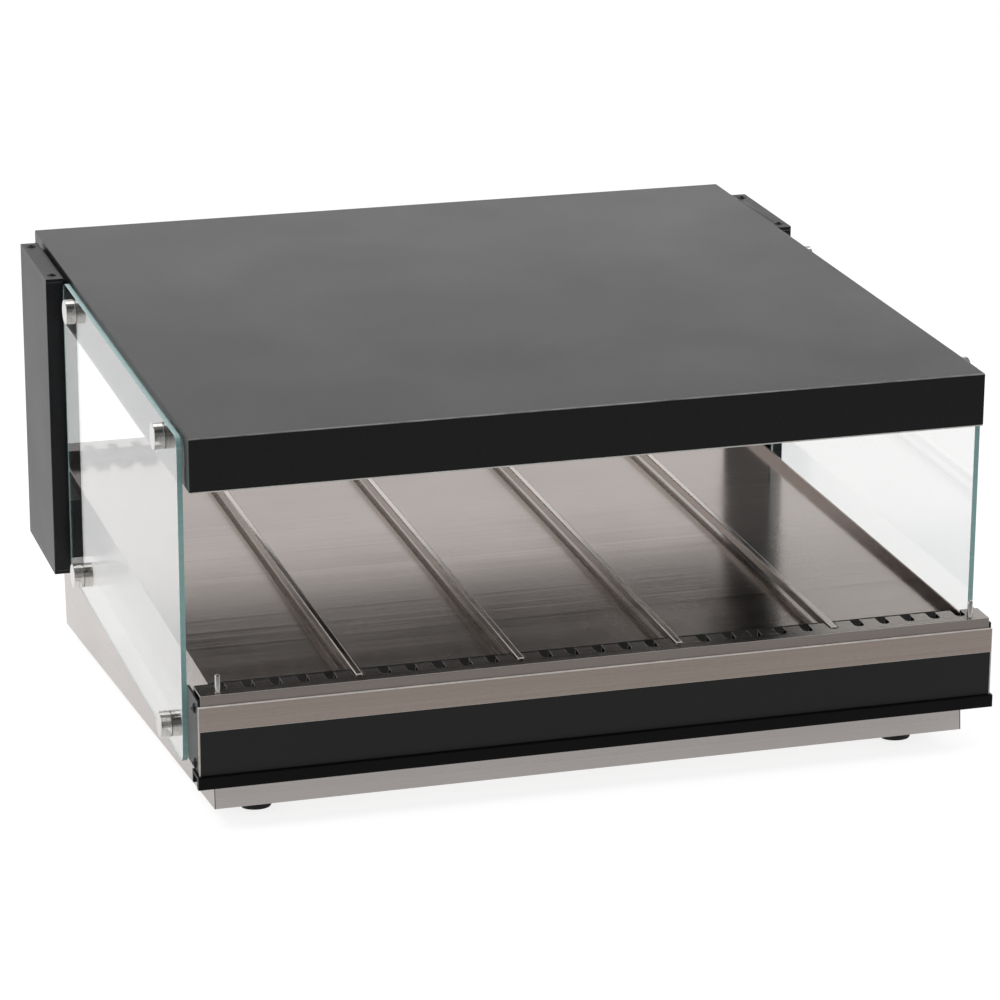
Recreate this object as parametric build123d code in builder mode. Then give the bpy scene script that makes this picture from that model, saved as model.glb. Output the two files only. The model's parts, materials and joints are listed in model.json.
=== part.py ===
from build123d import *
import os
from math import cos, radians, sin

os.makedirs("parts", exist_ok=True)

# Heated display case: a heated shelf on a wedge base, a heated canopy over it, glass sides.
# Millimetres. +Z is up, the front faces -Y, and the origin is under the middle of the case.
# The shelf and the canopy slope down to the front, so most pieces are drawn in a sloping
# frame: x to the right, u up the slope to the rear, n square to the canopy's top.
# Its origin is the middle of the canopy's front top edge.

# Driving dimensions of the whole case
slope_angle = 6.2
canopy_width = 610.0
canopy_length = 612.0
canopy_height = 40.0
front_edge_height = 293.0
opening_height = 146.0

# Canopy
canopy_sheet = 1.2
canopy_edge_round = 1.0
liner_sheet = 1.2
liner_inset = 0.4
canopy_insulation_thickness = 8.0
canopy_insulation_margin = 12.0

# Radiant heaters in the canopy
heater_rows = {"front": 170.0, "rear": 430.0}
window_end_margin = 45.0
window_width = 60.0
reflector_sheet = 0.8
reflector_height = 26.0
reflector_top_width = 40.0
reflector_flange = 7.0
element_diameter = 8.0
element_drop = 27.0
element_reach = 24.0
holder_width = 18.0
holder_thickness = 10.0
guard_wire = 2.0
guard_frame_wire = 3.0
guard_overlap = 6.0
guard_pitch = 26.0

# Comb rails and dividers
rail_rise = 10.0
rail_depth = 23.0
rail_sheet = 1.5
rail_overhang = 0.5
rail_back = 2.0
slot_pitch = 20.5
slot_width = 8.0
slot_depth = 14.0
slot_end_margin = 10.0
divider_width = 5.0
divider_height = 7.0
divider_round = 1.0
divider_steps = (-9, -3, 3, 9)
divider_end_gap = 2.0
divider_seat_gap = 0.3
divider_proud = 1.0
stop_pin_diameter = 4.0
stop_pin_height = 14.0
stop_pin_end_inset = 14.0
stop_pin_inset = 4.5
stop_pin_grip = 4.0

# Heated shelf
shelf_side_inset = 12.2
shelf_shortening = 14.0
shelf_depth = 56.0
shelf_sheet = 1.5
shelf_top_sheet = 1.2
shelf_lip = 7.0
shelf_heater_thickness = 3.0
shelf_heater_margin = 30.0
shelf_insulation_thickness = 25.0
shelf_tray_sheet = 1.2
fit = 0.3
cut_margin = 1.0

# Front strip
trim_overhang = 0.2
trim_thickness = 2.5
trim_drop = 8.0
trim_height = 53.0
label_height = 34.0
label_thickness = 1.0
label_end_margin = 1.2
sill_height = 10.0
sill_wall = 2.5
sill_round = 1.0
sill_overhang = 1.3
sill_reach = 18.0
end_plate_thickness = 2.0
end_plate_length = 36.0
end_plate_drop = 4.0
end_screw_diameter = 8.0
end_screw_head = 2.0
end_screw_shank = 4.0
end_screw_length = 8.0
end_screw_inset = 12.0
end_screw_margins = (9.0, 5.5)

# Glass sides and their fixings
glass_thickness = 4.0
glass_length = 440.0
glass_drop = 4.0
glass_foot = 3.0
glass_setback = 18.0
glass_corner = 10.0
glass_gap = 1.0
standoff_diameter = 20.0
standoff_cap = 8.0
standoff_chamfer = 0.8
standoff_stud = 6.0
standoff_hole = 8.0
standoff_end_inset = 48.0
standoff_top_inset = 12.5
standoff_bottom_inset = 14.5
stud_grip = 6.0

# Columns
column_width = 14.5
column_depth = 118.0
column_drop = 4.0
column_foot = 10.5
column_wall = 1.6
column_gap = 2.7
column_setback = 9.0
column_cap = 3.0
column_edge_round = 0.8
cap_screw_inset = 12.0
cap_screw_head = 7.0
cap_screw_head_height = 2.0
cap_screw_shank = 3.5
cap_screw_length = 14.0
cap_recess_clearance = 0.5
channel_width = 9.0
pad_margin = 8.0
pad_height = 28.0
pad_drop = 8.0
bracket_height = 50.0
bolt_diameter = 5.0
bolt_head = 9.0
bolt_head_height = 3.0
bolt_spacing = 52.0
bolt_reach = 3.0
hole_clearance = 0.2

# Supply lead up the left column
lead_diameter = 4.0
lead_bend = 5.0
lead_tail = 14.0

# Base
base_sheet = 1.5
base_front_setback = 21.6
base_flange = 12.0
foot_height = 12.3
foot_diameter = 30.0
foot_tip_diameter = 26.0
foot_side_inset = 39.0
foot_end_inset = 38.0
foot_screw_diameter = 5.0
foot_screw_head = 9.0
foot_screw_head_height = 3.5
foot_recess_clearance = 0.5
foot_screw_grip = 5.0
foot_screw_recess = 1.0
panel_screw_head = 7.0
panel_screw_head_height = 2.0
panel_screw_shank = 3.5
panel_screw_length = 6.0
bottom_screw_columns = 4
bottom_screw_inset = 49.0
vent_width = 3.0
vent_length = 40.0
vent_pitch = 9.0
vent_count = 8

# Controls on the rear panel, as seen from behind, from the middle of the panel
control_height = 58.0
knob_places = {"canopy": -40.0, "shelf": 40.0}
lamp_offset = 34.0
switch_place = 120.0
inlet_place = 200.0
rear_vent_place = -200.0
rear_vent_length = 80.0
rear_vent_count = 6
knob_diameter = 36.0
knob_height = 15.0
knob_skirt_height = 4.0
knob_grip_width = 9.0
knob_gap = 1.0
knob_round = 1.2
pointer_width = 1.6
pointer_depth = 0.6
shaft_diameter = 6.0
shaft_clearance = 0.08
shaft_depth = 12.0
shaft_end_gap = 1.0
thermostat_size = 34.0
thermostat_depth = 24.0
bushing_diameter = 10.0
lamp_diameter = 10.0
lamp_body_diameter = 8.0
lamp_dome = 3.0
lamp_round = 1.8
lamp_body_length = 20.0
switch_bezel_margin = 1.5
switch_bezel_thickness = 2.0
switch_wall = 2.2
switch_body_depth = 20.0
rocker_width = 14.0
rocker_height = 22.0
rocker_peak = 3.2
rocker_valley = 1.4
rocker_root = 3.0
rocker_clearance = 0.8
rocker_tilt = 7.0
rocker_taper = 1.0
rocker_pivot_depth = 0.5
rocker_pin = 3.0
rocker_pin_clearance = 0.08
rocker_pin_length = 1.5
inlet_flange_width = 48.0
inlet_flange_height = 28.0
inlet_flange_thickness = 3.0
inlet_body_width = 28.0
inlet_body_height = 21.0
inlet_body_depth = 22.0
inlet_mouth_width = 24.0
inlet_mouth_height = 17.0
inlet_mouth_depth = 16.0
inlet_pin_width = 2.0
inlet_pin_height = 4.0
inlet_pin_spacing = 7.0
inlet_pin_offset = 2.0
inlet_pin_length = 12.0
terminal_width = 56.0
terminal_depth = 24.0
terminal_height = 16.0
terminal_ways = 5
terminal_hole = 5.0

# Widths and lengths that follow the canopy
window_length = canopy_width - 2 * window_end_margin
rail_length = canopy_width + 2 * rail_overhang
trim_width = rail_length + 2 * (end_plate_thickness + trim_overhang)
shelf_side = canopy_width / 2 - shelf_side_inset
shelf_length = canopy_length - shelf_shortening
stop_pin_reach = rail_length / 2 - stop_pin_end_inset

# Levels in the sloping frame
slope_sin = sin(radians(slope_angle))
slope_cos = cos(radians(slope_angle))
canopy_bottom = -canopy_height
liner_bottom = canopy_bottom - liner_sheet
rail_top = canopy_bottom - opening_height
shelf_top = rail_top - rail_rise
lip_top = shelf_top + shelf_lip
shelf_bottom = shelf_top - shelf_depth
rail_front = -rail_back - rail_depth
trim_front = rail_front - trim_thickness
trim_top = rail_top - trim_drop
trim_bottom = trim_top - trim_height
sill_bottom = trim_bottom - sill_height
shelf_front = -rail_back
shelf_rear = shelf_front + shelf_length
rear_rail_front = shelf_rear - rail_depth
glass_inner = canopy_width / 2 + glass_gap
glass_outer = glass_inner + glass_thickness
glass_front = glass_setback
glass_rear = glass_front + glass_length
glass_top = -glass_drop
glass_bottom = shelf_bottom - glass_foot
column_inner = canopy_width / 2 + column_gap
column_outer = column_inner + column_width
column_front = glass_rear + column_setback
column_rear = column_front + column_depth
column_middle = (column_front + column_rear) / 2
column_top = -column_drop
bolt_line = pad_drop + pad_height / 2
bracket_top = shelf_top - shelf_top_sheet - fit
bracket_bottom = bracket_top - bracket_height
bracket_line = (bracket_top + bracket_bottom) / 2
column_bottom = bracket_bottom - column_foot


# How far behind the canopy's front top edge a point of the sloping frame lies
def slope_y(u, n):
    return u * slope_cos - n * slope_sin


# Height of the shelf's underside at a depth, from the canopy's front top edge
def underside_z(y):
    return (y * slope_sin + shelf_bottom) / slope_cos


base_front = base_front_setback
base_back = slope_y(shelf_rear, shelf_bottom)
knob_reach = knob_gap + knob_height
front_most = slope_y(trim_front, trim_top)
back_most = base_back + knob_reach
front_edge_y = -(front_most + back_most) / 2
base_front_y = front_edge_y + base_front
base_back_y = front_edge_y + base_back
panel_inner_y = base_back_y - base_sheet
panel_top = front_edge_height + underside_z(base_back - base_sheet)

slope = Plane(
    origin=(0, front_edge_y, front_edge_height),
    x_dir=(1, 0, 0),
    z_dir=(0, -slope_sin, slope_cos),
)
rear = Plane(origin=(0, base_back_y, 0), x_dir=(-1, 0, 0), z_dir=(0, 1, 0))
upright = Axis(slope.origin, slope.z_dir)
sides = {"left": -1, "right": 1}


# Plane square to x, with u and n as its two directions
def across(x):
    return Plane(origin=slope.from_local_coords((x, 0, 0)), x_dir=slope.y_dir, z_dir=(1, 0, 0))


# Box between pairs of limits along the three directions of the current frame
def block(first, second, third, mode=Mode.ADD):
    with Locations((sum(first) / 2, sum(second) / 2, sum(third) / 2)):
        Box(abs(first[1] - first[0]), abs(second[1] - second[0]), abs(third[1] - third[0]), mode=mode)


# Limits mirrored to the left side when side is -1
def sided(side, near, far):
    return (side * near, side * far)


# Rod along x between two places, at u and n
def rod_along_x(radius, start, end, u, n, mode=Mode.ADD):
    with Locations(Location(((start + end) / 2, u, n), (0, 90, 0))):
        Cylinder(radius, abs(end - start), mode=mode)


# Label a finished piece and write it
def write_part(piece, name):
    piece.label = name
    export_step(piece, f"parts/{name}.step")


# Base: folded wedge, open under the shelf, with flanges for its panels

base_profile = [
    (base_front_y, foot_height),
    (panel_inner_y, foot_height),
    (panel_inner_y, panel_top),
    (base_front_y, front_edge_height + underside_z(base_front)),
]
base_inner_profile = [
    (base_front_y + base_sheet, foot_height + base_sheet),
    (panel_inner_y - base_sheet, foot_height + base_sheet),
    (panel_inner_y - base_sheet, panel_top + canopy_height),
    (base_front_y + base_sheet, panel_top + canopy_height),
]
wall_inner = shelf_side - base_sheet
flange_inner = shelf_side - base_flange

screw_reach = shelf_side - bottom_screw_inset
screw_columns = [
    screw_reach * (2 * step / (bottom_screw_columns - 1) - 1) for step in range(bottom_screw_columns)
]
screw_rows = [base_front_y + base_flange / 2 + base_sheet, panel_inner_y - base_flange / 2 - base_sheet]
bottom_screw_places = [(x, y) for x in screw_columns for y in screw_rows]
panel_screw_places = [
    (side * (shelf_side - base_flange / 2 - base_sheet), height)
    for side in sides.values()
    for height in (foot_height + base_flange, panel_top - base_flange)
]
foot_places = [
    (side * (shelf_side - foot_side_inset), y)
    for side in sides.values()
    for y in (base_front_y + foot_end_inset, base_back_y - foot_end_inset)
]

with BuildPart() as base_shell:
    with BuildSketch(Plane.YZ):
        Polygon(*base_profile, align=None)
    extrude(amount=shelf_side, both=True)
    with BuildSketch(Plane.YZ):
        Polygon(*base_inner_profile, align=None)
    extrude(amount=wall_inner, both=True, mode=Mode.SUBTRACT)
    block(
        (-flange_inner, flange_inner),
        (base_front_y + base_flange, panel_inner_y - base_flange),
        (foot_height - base_sheet, foot_height + 2 * base_sheet),
        Mode.SUBTRACT,
    )
    block(
        (-flange_inner, flange_inner),
        (panel_inner_y - 2 * base_sheet, panel_inner_y + base_sheet),
        (foot_height + base_flange, panel_top + base_flange),
        Mode.SUBTRACT,
    )
    with Locations(*[(x, y, foot_height) for x, y in bottom_screw_places]):
        Cylinder(panel_screw_shank / 2 + hole_clearance, 4 * base_sheet, mode=Mode.SUBTRACT)
    with Locations(*[Location((-a, panel_inner_y, b), (90, 0, 0)) for a, b in panel_screw_places]):
        Cylinder(panel_screw_shank / 2 + hole_clearance, 4 * base_sheet, mode=Mode.SUBTRACT)
write_part(base_shell.part, "base_shell")

plate_bottom = foot_height + base_sheet
with BuildPart() as base_bottom_plate:
    block(
        (-wall_inner + fit, wall_inner - fit),
        (base_front_y + base_sheet + fit, panel_inner_y - base_sheet - fit),
        (plate_bottom, plate_bottom + base_sheet),
    )
    with Locations(*[(x, y, plate_bottom) for x, y in bottom_screw_places]):
        Cylinder(panel_screw_shank / 2 + hole_clearance, 4 * base_sheet, mode=Mode.SUBTRACT)
    with Locations(*[(x, y, plate_bottom) for x, y in foot_places]):
        Cylinder(foot_screw_diameter / 2 + hole_clearance, 4 * base_sheet, mode=Mode.SUBTRACT)
    with GridLocations(2 * vent_length, vent_pitch, 3, vent_count):
        with Locations((0, 0, plate_bottom)):
            Box(vent_length, vent_width, 4 * base_sheet, mode=Mode.SUBTRACT)
write_part(base_bottom_plate.part, "base_bottom_plate")

with BuildPart() as base_screws:
    with Locations(*[(x, y, foot_height) for x, y in bottom_screw_places]):
        Cylinder(panel_screw_head / 2, panel_screw_head_height, align=(Align.CENTER, Align.CENTER, Align.MAX))
        Cylinder(panel_screw_shank / 2, panel_screw_length, align=(Align.CENTER, Align.CENTER, Align.MIN))
write_part(base_screws.part, "base_screws")

with BuildPart() as feet:
    for x, y in foot_places:
        with BuildSketch(Plane(origin=(x, y, 0))):
            Circle(foot_tip_diameter / 2)
        with BuildSketch(Plane(origin=(x, y, plate_bottom))):
            Circle(foot_diameter / 2)
        loft()
    with Locations(*[(x, y, 0) for x, y in foot_places]):
        Cylinder(
            foot_screw_head / 2 + foot_recess_clearance,
            2 * (foot_screw_head_height + foot_screw_recess),
            mode=Mode.SUBTRACT,
        )
        Cylinder(foot_screw_diameter / 2 + hole_clearance, 3 * foot_height, mode=Mode.SUBTRACT)
write_part(feet.part, "feet")

with BuildPart() as foot_screws:
    with Locations(*[(x, y, foot_screw_head_height + foot_screw_recess) for x, y in foot_places]):
        Cylinder(foot_screw_head / 2, foot_screw_head_height, align=(Align.CENTER, Align.CENTER, Align.MAX))
        Cylinder(
            foot_screw_diameter / 2,
            plate_bottom + foot_screw_grip - foot_screw_head_height,
            align=(Align.CENTER, Align.CENTER, Align.MIN),
        )
write_part(foot_screws.part, "foot_screws")


# Places on the rear panel's outer face, from their distances across and up
def on_rear(places):
    return [rear.location * Location((a, b, 0)) for a, b in places]


rocker_cavity_width = rocker_width + 2 * fit
rocker_cavity_height = rocker_height + 2 * rocker_clearance
switch_body_width = rocker_cavity_width + 2 * switch_wall
switch_body_height = rocker_cavity_height + 2 * switch_wall

# Rear panel, with the holes of everything that is fixed in it

with BuildPart() as rear_panel:
    block((-shelf_side, shelf_side), (panel_inner_y, base_back_y), (foot_height, panel_top))
    with Locations(*on_rear(panel_screw_places)):
        Cylinder(panel_screw_shank / 2 + hole_clearance, 4 * base_sheet, mode=Mode.SUBTRACT)
    with Locations(*on_rear((a, control_height) for a in knob_places.values())):
        Cylinder(bushing_diameter / 2 + hole_clearance, 4 * base_sheet, mode=Mode.SUBTRACT)
    with Locations(*on_rear((a + lamp_offset, control_height) for a in knob_places.values())):
        Cylinder(lamp_body_diameter / 2 + hole_clearance, 4 * base_sheet, mode=Mode.SUBTRACT)
    with Locations(*on_rear([(switch_place, control_height)])):
        Box(switch_body_width + fit, switch_body_height + fit, 4 * base_sheet, mode=Mode.SUBTRACT)
    with Locations(*on_rear([(inlet_place, control_height)])):
        Box(inlet_body_width + fit, inlet_body_height + fit, 4 * base_sheet, mode=Mode.SUBTRACT)
    with Locations(*on_rear([(rear_vent_place, control_height)])):
        with GridLocations(rear_vent_length, vent_pitch, 1, rear_vent_count):
            Box(rear_vent_length, vent_width, 4 * base_sheet, mode=Mode.SUBTRACT)
write_part(rear_panel.part, "rear_panel")

with BuildPart(rear) as rear_panel_screws:
    with Locations(*[(a, b, 0) for a, b in panel_screw_places]):
        Cylinder(panel_screw_head / 2, panel_screw_head_height, align=(Align.CENTER, Align.CENTER, Align.MIN))
        Cylinder(panel_screw_shank / 2, panel_screw_length, align=(Align.CENTER, Align.CENTER, Align.MAX))
write_part(rear_panel_screws.part, "rear_panel_screws")

# Controls: thermostats with their knobs, lamps, mains switch, inlet and terminal blocks

for name, place in knob_places.items():
    with BuildPart(rear.offset(-base_sheet)) as thermostat:
        with Locations((place, control_height, 0)):
            Box(
                thermostat_size,
                thermostat_size,
                thermostat_depth,
                align=(Align.CENTER, Align.CENTER, Align.MAX),
            )
            Cylinder(bushing_diameter / 2, base_sheet, align=(Align.CENTER, Align.CENTER, Align.MIN))
            Cylinder(shaft_diameter / 2 + shaft_clearance, 2 * shaft_depth, mode=Mode.SUBTRACT)
    write_part(thermostat.part, f"thermostat_{name}")

    with BuildPart(rear.offset(knob_gap)) as knob:
        with Locations((place, control_height, 0)):
            Cylinder(knob_diameter / 2, knob_skirt_height, align=(Align.CENTER, Align.CENTER, Align.MIN))
        fillet(knob.faces().sort_by(Axis.Y)[-1].edges(), knob_round)
        with BuildSketch(rear.offset(knob_gap)):
            with Locations((place, control_height)):
                Rectangle(knob_grip_width, knob_diameter - 2 * knob_round)
        extrude(amount=knob_height)
        fillet(knob.faces().sort_by(Axis.Y)[-1].edges(), knob_round)
        with Locations((place, control_height + knob_diameter / 4, knob_height)):
            Box(pointer_width, knob_diameter / 2, 2 * pointer_depth, mode=Mode.SUBTRACT)
        with Locations((place, control_height, 0)):
            Cylinder(
                shaft_diameter / 2,
                knob_gap + base_sheet + shaft_depth - shaft_end_gap,
                align=(Align.CENTER, Align.CENTER, Align.MAX),
            )
    write_part(knob.part, f"knob_{name}")

with BuildPart(rear) as indicator_lamps:
    for place in knob_places.values():
        with Locations((place + lamp_offset, control_height, 0)):
            Cylinder(lamp_diameter / 2, lamp_dome, align=(Align.CENTER, Align.CENTER, Align.MIN))
            Cylinder(lamp_body_diameter / 2, lamp_body_length, align=(Align.CENTER, Align.CENTER, Align.MAX))
    fillet(indicator_lamps.faces().sort_by(Axis.Y)[-2:].edges(), lamp_round)
write_part(indicator_lamps.part, "indicator_lamps")

with BuildPart(rear) as switch_housing:
    with Locations((switch_place, control_height, 0)):
        Box(
            switch_body_width + 2 * switch_bezel_margin,
            switch_body_height + 2 * switch_bezel_margin,
            switch_bezel_thickness,
            align=(Align.CENTER, Align.CENTER, Align.MIN),
        )
        Box(
            switch_body_width,
            switch_body_height,
            switch_body_depth,
            align=(Align.CENTER, Align.CENTER, Align.MAX),
        )
        Box(
            rocker_cavity_width,
            rocker_cavity_height,
            4 * rocker_root,
            mode=Mode.SUBTRACT,
        )
    rod_along_x(
        rocker_pin / 2 + rocker_pin_clearance,
        switch_place - rocker_width / 2 - rocker_pin_length - fit,
        switch_place + rocker_width / 2 + rocker_pin_length + fit,
        control_height,
        -rocker_pivot_depth,
        Mode.SUBTRACT,
    )
write_part(switch_housing.part, "switch_housing")

# The rocker is drawn about its pivot, turned to the off position
rocker_plane = Plane(
    origin=rear.from_local_coords((switch_place, control_height, -rocker_pivot_depth)),
    x_dir=(1, 0, 0),
    z_dir=(0, cos(radians(rocker_tilt)), sin(radians(rocker_tilt))),
)
rocker_side = Plane(origin=rocker_plane.origin, x_dir=rocker_plane.y_dir, z_dir=(1, 0, 0))
with BuildPart() as switch_rocker:
    with BuildSketch(rocker_side):
        with BuildLine():
            Polyline(
                (-rocker_height / 2, rocker_peak),
                (0, rocker_valley),
                (rocker_height / 2, rocker_peak),
                (rocker_height / 2 - rocker_taper, -rocker_root),
                (rocker_taper - rocker_height / 2, -rocker_root),
                close=True,
            )
        make_face()
    extrude(amount=rocker_width / 2, both=True)
    with BuildSketch(rocker_side):
        Circle(rocker_pin / 2)
    extrude(amount=rocker_width / 2 + rocker_pin_length, both=True)
write_part(switch_rocker.part, "switch_rocker")

with BuildPart(rear) as power_inlet:
    with Locations((inlet_place, control_height, 0)):
        Box(
            inlet_flange_width,
            inlet_flange_height,
            inlet_flange_thickness,
            align=(Align.CENTER, Align.CENTER, Align.MIN),
        )
        Box(
            inlet_body_width,
            inlet_body_height,
            inlet_body_depth,
            align=(Align.CENTER, Align.CENTER, Align.MAX),
        )
    with Locations((inlet_place, control_height, inlet_flange_thickness)):
        Box(
            inlet_mouth_width,
            inlet_mouth_height,
            inlet_mouth_depth,
            align=(Align.CENTER, Align.CENTER, Align.MAX),
            mode=Mode.SUBTRACT,
        )
    inlet_floor = inlet_flange_thickness - inlet_mouth_depth
    with Locations(
        (inlet_place - inlet_pin_spacing, control_height - inlet_pin_offset, inlet_floor),
        (inlet_place + inlet_pin_spacing, control_height - inlet_pin_offset, inlet_floor),
        (inlet_place, control_height + inlet_pin_offset, inlet_floor),
    ):
        Box(
            inlet_pin_width,
            inlet_pin_height,
            inlet_pin_length,
            align=(Align.CENTER, Align.CENTER, Align.MIN),
        )
write_part(power_inlet.part, "power_inlet")


# Terminal block with a row of screw wells, standing on the current plane at a place
def terminal_block(x, u, floor):
    with Locations((x, u, floor)):
        Box(
            terminal_width,
            terminal_depth,
            terminal_height,
            align=(Align.CENTER, Align.CENTER, Align.MIN),
        )
    with Locations((x, u, floor + terminal_height)):
        with GridLocations(terminal_width / terminal_ways, 1, terminal_ways, 1):
            Cylinder(terminal_hole / 2, terminal_height, mode=Mode.SUBTRACT)


with BuildPart() as base_terminal_block:
    terminal_block(-inlet_place, panel_inner_y - 4 * terminal_depth, plate_bottom + base_sheet)
write_part(base_terminal_block.part, "base_terminal_block")

# Shelf: folded pan with raised side lips, heating mat, insulation and closing tray

shelf_wall_inner = shelf_side - shelf_sheet
lead_hole = lead_diameter / 2 + hole_clearance
bolt_places = [column_middle - bolt_spacing / 2, column_middle + bolt_spacing / 2]
standoff_places = [glass_front + standoff_end_inset, glass_rear - standoff_end_inset]
standoff_top = glass_top - standoff_top_inset
standoff_bottom = glass_bottom + standoff_bottom_inset

with BuildPart(slope) as shelf_pan:
    block((-shelf_side, shelf_side), (shelf_front, shelf_rear), (shelf_bottom, lip_top))
    block(
        (-shelf_wall_inner, shelf_wall_inner),
        (shelf_front - cut_margin, shelf_rear + cut_margin),
        (shelf_top, lip_top + cut_margin),
        Mode.SUBTRACT,
    )
    block(
        (-shelf_wall_inner, shelf_wall_inner),
        (shelf_front + shelf_sheet, shelf_rear - shelf_sheet),
        (shelf_bottom - cut_margin, shelf_top - shelf_top_sheet),
        Mode.SUBTRACT,
    )
    for side in sides.values():
        for u in bolt_places:
            rod_along_x(
                bolt_diameter / 2 + hole_clearance,
                side * (shelf_side - 4 * shelf_sheet),
                side * (shelf_side + shelf_sheet),
                u,
                bracket_line,
                Mode.SUBTRACT,
            )
        for u in standoff_places:
            rod_along_x(
                standoff_stud / 2 + hole_clearance,
                side * (shelf_side - 4 * shelf_sheet),
                side * (shelf_side + shelf_sheet),
                u,
                standoff_bottom,
                Mode.SUBTRACT,
            )
    rod_along_x(
        lead_hole,
        -shelf_side - shelf_sheet,
        -shelf_side + 4 * shelf_sheet,
        column_middle,
        bracket_line,
        Mode.SUBTRACT,
    )
write_part(shelf_pan.part, "shelf_pan")

mat_top = shelf_top - shelf_top_sheet
mat_bottom = mat_top - shelf_heater_thickness
mat_half = shelf_side - shelf_heater_margin
with BuildPart(slope) as shelf_heater:
    block(
        (-mat_half, mat_half),
        (shelf_front + shelf_heater_margin, shelf_rear - shelf_heater_margin),
        (mat_bottom, mat_top),
    )
write_part(shelf_heater.part, "shelf_heater")

with BuildPart(slope) as shelf_insulation:
    block(
        (-mat_half, mat_half),
        (shelf_front + shelf_heater_margin, shelf_rear - shelf_heater_margin),
        (mat_bottom - shelf_insulation_thickness, mat_bottom),
    )
write_part(shelf_insulation.part, "shelf_insulation")

tray_foot = shelf_bottom + shelf_tray_sheet
with BuildPart(slope) as shelf_tray:
    block(
        (-shelf_wall_inner + fit, shelf_wall_inner - fit),
        (shelf_front + shelf_sheet + fit, shelf_rear - shelf_sheet - fit),
        (shelf_bottom, tray_foot),
    )
    for side in sides.values():
        block(
            sided(side, mat_half - base_flange, mat_half),
            (shelf_front + shelf_heater_margin, shelf_rear - shelf_heater_margin),
            (shelf_bottom, mat_bottom - shelf_insulation_thickness),
        )
        block(
            sided(side, mat_half - base_flange, mat_half - shelf_tray_sheet),
            (shelf_front, shelf_rear),
            (tray_foot, mat_bottom - shelf_insulation_thickness - shelf_tray_sheet),
            Mode.SUBTRACT,
        )
write_part(shelf_tray.part, "shelf_tray")

# Comb rails across the front and the rear of the shelf

slot_bottom = rail_top + divider_proud - divider_height - divider_seat_gap


# Slots along a rail of a half length, open to the shelf side, from its edge at u inward
def cut_slots(half_length, edge, inward):
    end = edge + inward * (slot_depth - slot_width / 2)
    count = int((half_length - slot_end_margin - slot_width / 2) // slot_pitch)
    for x in [slot_pitch * step for step in range(-count, count + 1)]:
        block(
            (x - slot_width / 2, x + slot_width / 2),
            (edge - inward * rail_sheet, end),
            (slot_bottom, rail_top + cut_margin),
            Mode.SUBTRACT,
        )
        with Locations((x, end, (slot_bottom + rail_top + cut_margin) / 2)):
            Cylinder(slot_width / 2, rail_top + cut_margin - slot_bottom, mode=Mode.SUBTRACT)


with BuildPart(slope) as front_rail:
    block((-rail_length / 2, rail_length / 2), (rail_front, -rail_back), (trim_bottom, rail_top))
    block(
        (-rail_length / 2 - cut_margin, rail_length / 2 + cut_margin),
        (rail_front + rail_sheet, -rail_back - rail_sheet),
        (trim_bottom - cut_margin, rail_top - rail_sheet),
        Mode.SUBTRACT,
    )
    cut_slots(rail_length / 2, -rail_back, -1)
    with Locations(
        *[(side * stop_pin_reach, rail_front + stop_pin_inset, rail_top) for side in sides.values()]
    ):
        Cylinder(stop_pin_diameter / 2 + hole_clearance, 4 * rail_sheet, mode=Mode.SUBTRACT)
write_part(front_rail.part, "front_rail")

rear_rail_half = shelf_wall_inner - fit
with BuildPart(slope) as rear_rail:
    block((-rear_rail_half, rear_rail_half), (rear_rail_front, shelf_rear), (shelf_top, rail_top))
    block(
        (-rear_rail_half - cut_margin, rear_rail_half + cut_margin),
        (rear_rail_front + rail_sheet, shelf_rear - rail_sheet),
        (shelf_top - cut_margin, rail_top - rail_sheet),
        Mode.SUBTRACT,
    )
    cut_slots(rear_rail_half, rear_rail_front, 1)
write_part(rear_rail.part, "rear_rail")

with BuildPart(slope) as stop_pins:
    with Locations(
        *[(side * stop_pin_reach, rail_front + stop_pin_inset, rail_top) for side in sides.values()]
    ):
        Cylinder(
            stop_pin_diameter / 2,
            stop_pin_height + stop_pin_grip,
            align=(Align.CENTER, Align.CENTER, Align.MIN),
        )
write_part(stop_pins.part.moved(Location(slope.z_dir * -stop_pin_grip)), "stop_pins")

# Divider bars, lifted out of the slots and moved to suit the lane width

divider_front = -rail_back - slot_depth + divider_end_gap
divider_rear = rear_rail_front + slot_depth - divider_end_gap
divider_top = rail_top + divider_proud
for number, step in enumerate(divider_steps, start=1):
    with BuildPart(slope) as divider:
        block(
            (step * slot_pitch - divider_width / 2, step * slot_pitch + divider_width / 2),
            (divider_front, divider_rear),
            (divider_top - divider_height, divider_top),
        )
        fillet(divider.faces().sort_by(Axis.Z)[-1].edges().filter_by(GeomType.LINE), divider_round)
    write_part(divider.part, f"divider_{number}")

# Front strip: steel trim with a recess, the label strip in it, the sill below and end plates

label_top = trim_bottom + label_height
label_half = trim_width / 2 - label_end_margin
with BuildPart(slope) as front_trim:
    block((-trim_width / 2, trim_width / 2), (trim_front, rail_front), (trim_bottom, trim_top))
    block(
        (-label_half, label_half),
        (trim_front - cut_margin, trim_front + label_thickness),
        (trim_bottom - cut_margin, label_top),
        Mode.SUBTRACT,
    )
write_part(front_trim.part, "front_trim")

with BuildPart(slope) as label_strip:
    block((-label_half, label_half), (trim_front, trim_front + label_thickness), (trim_bottom, label_top))
write_part(label_strip.part, "label_strip")

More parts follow.
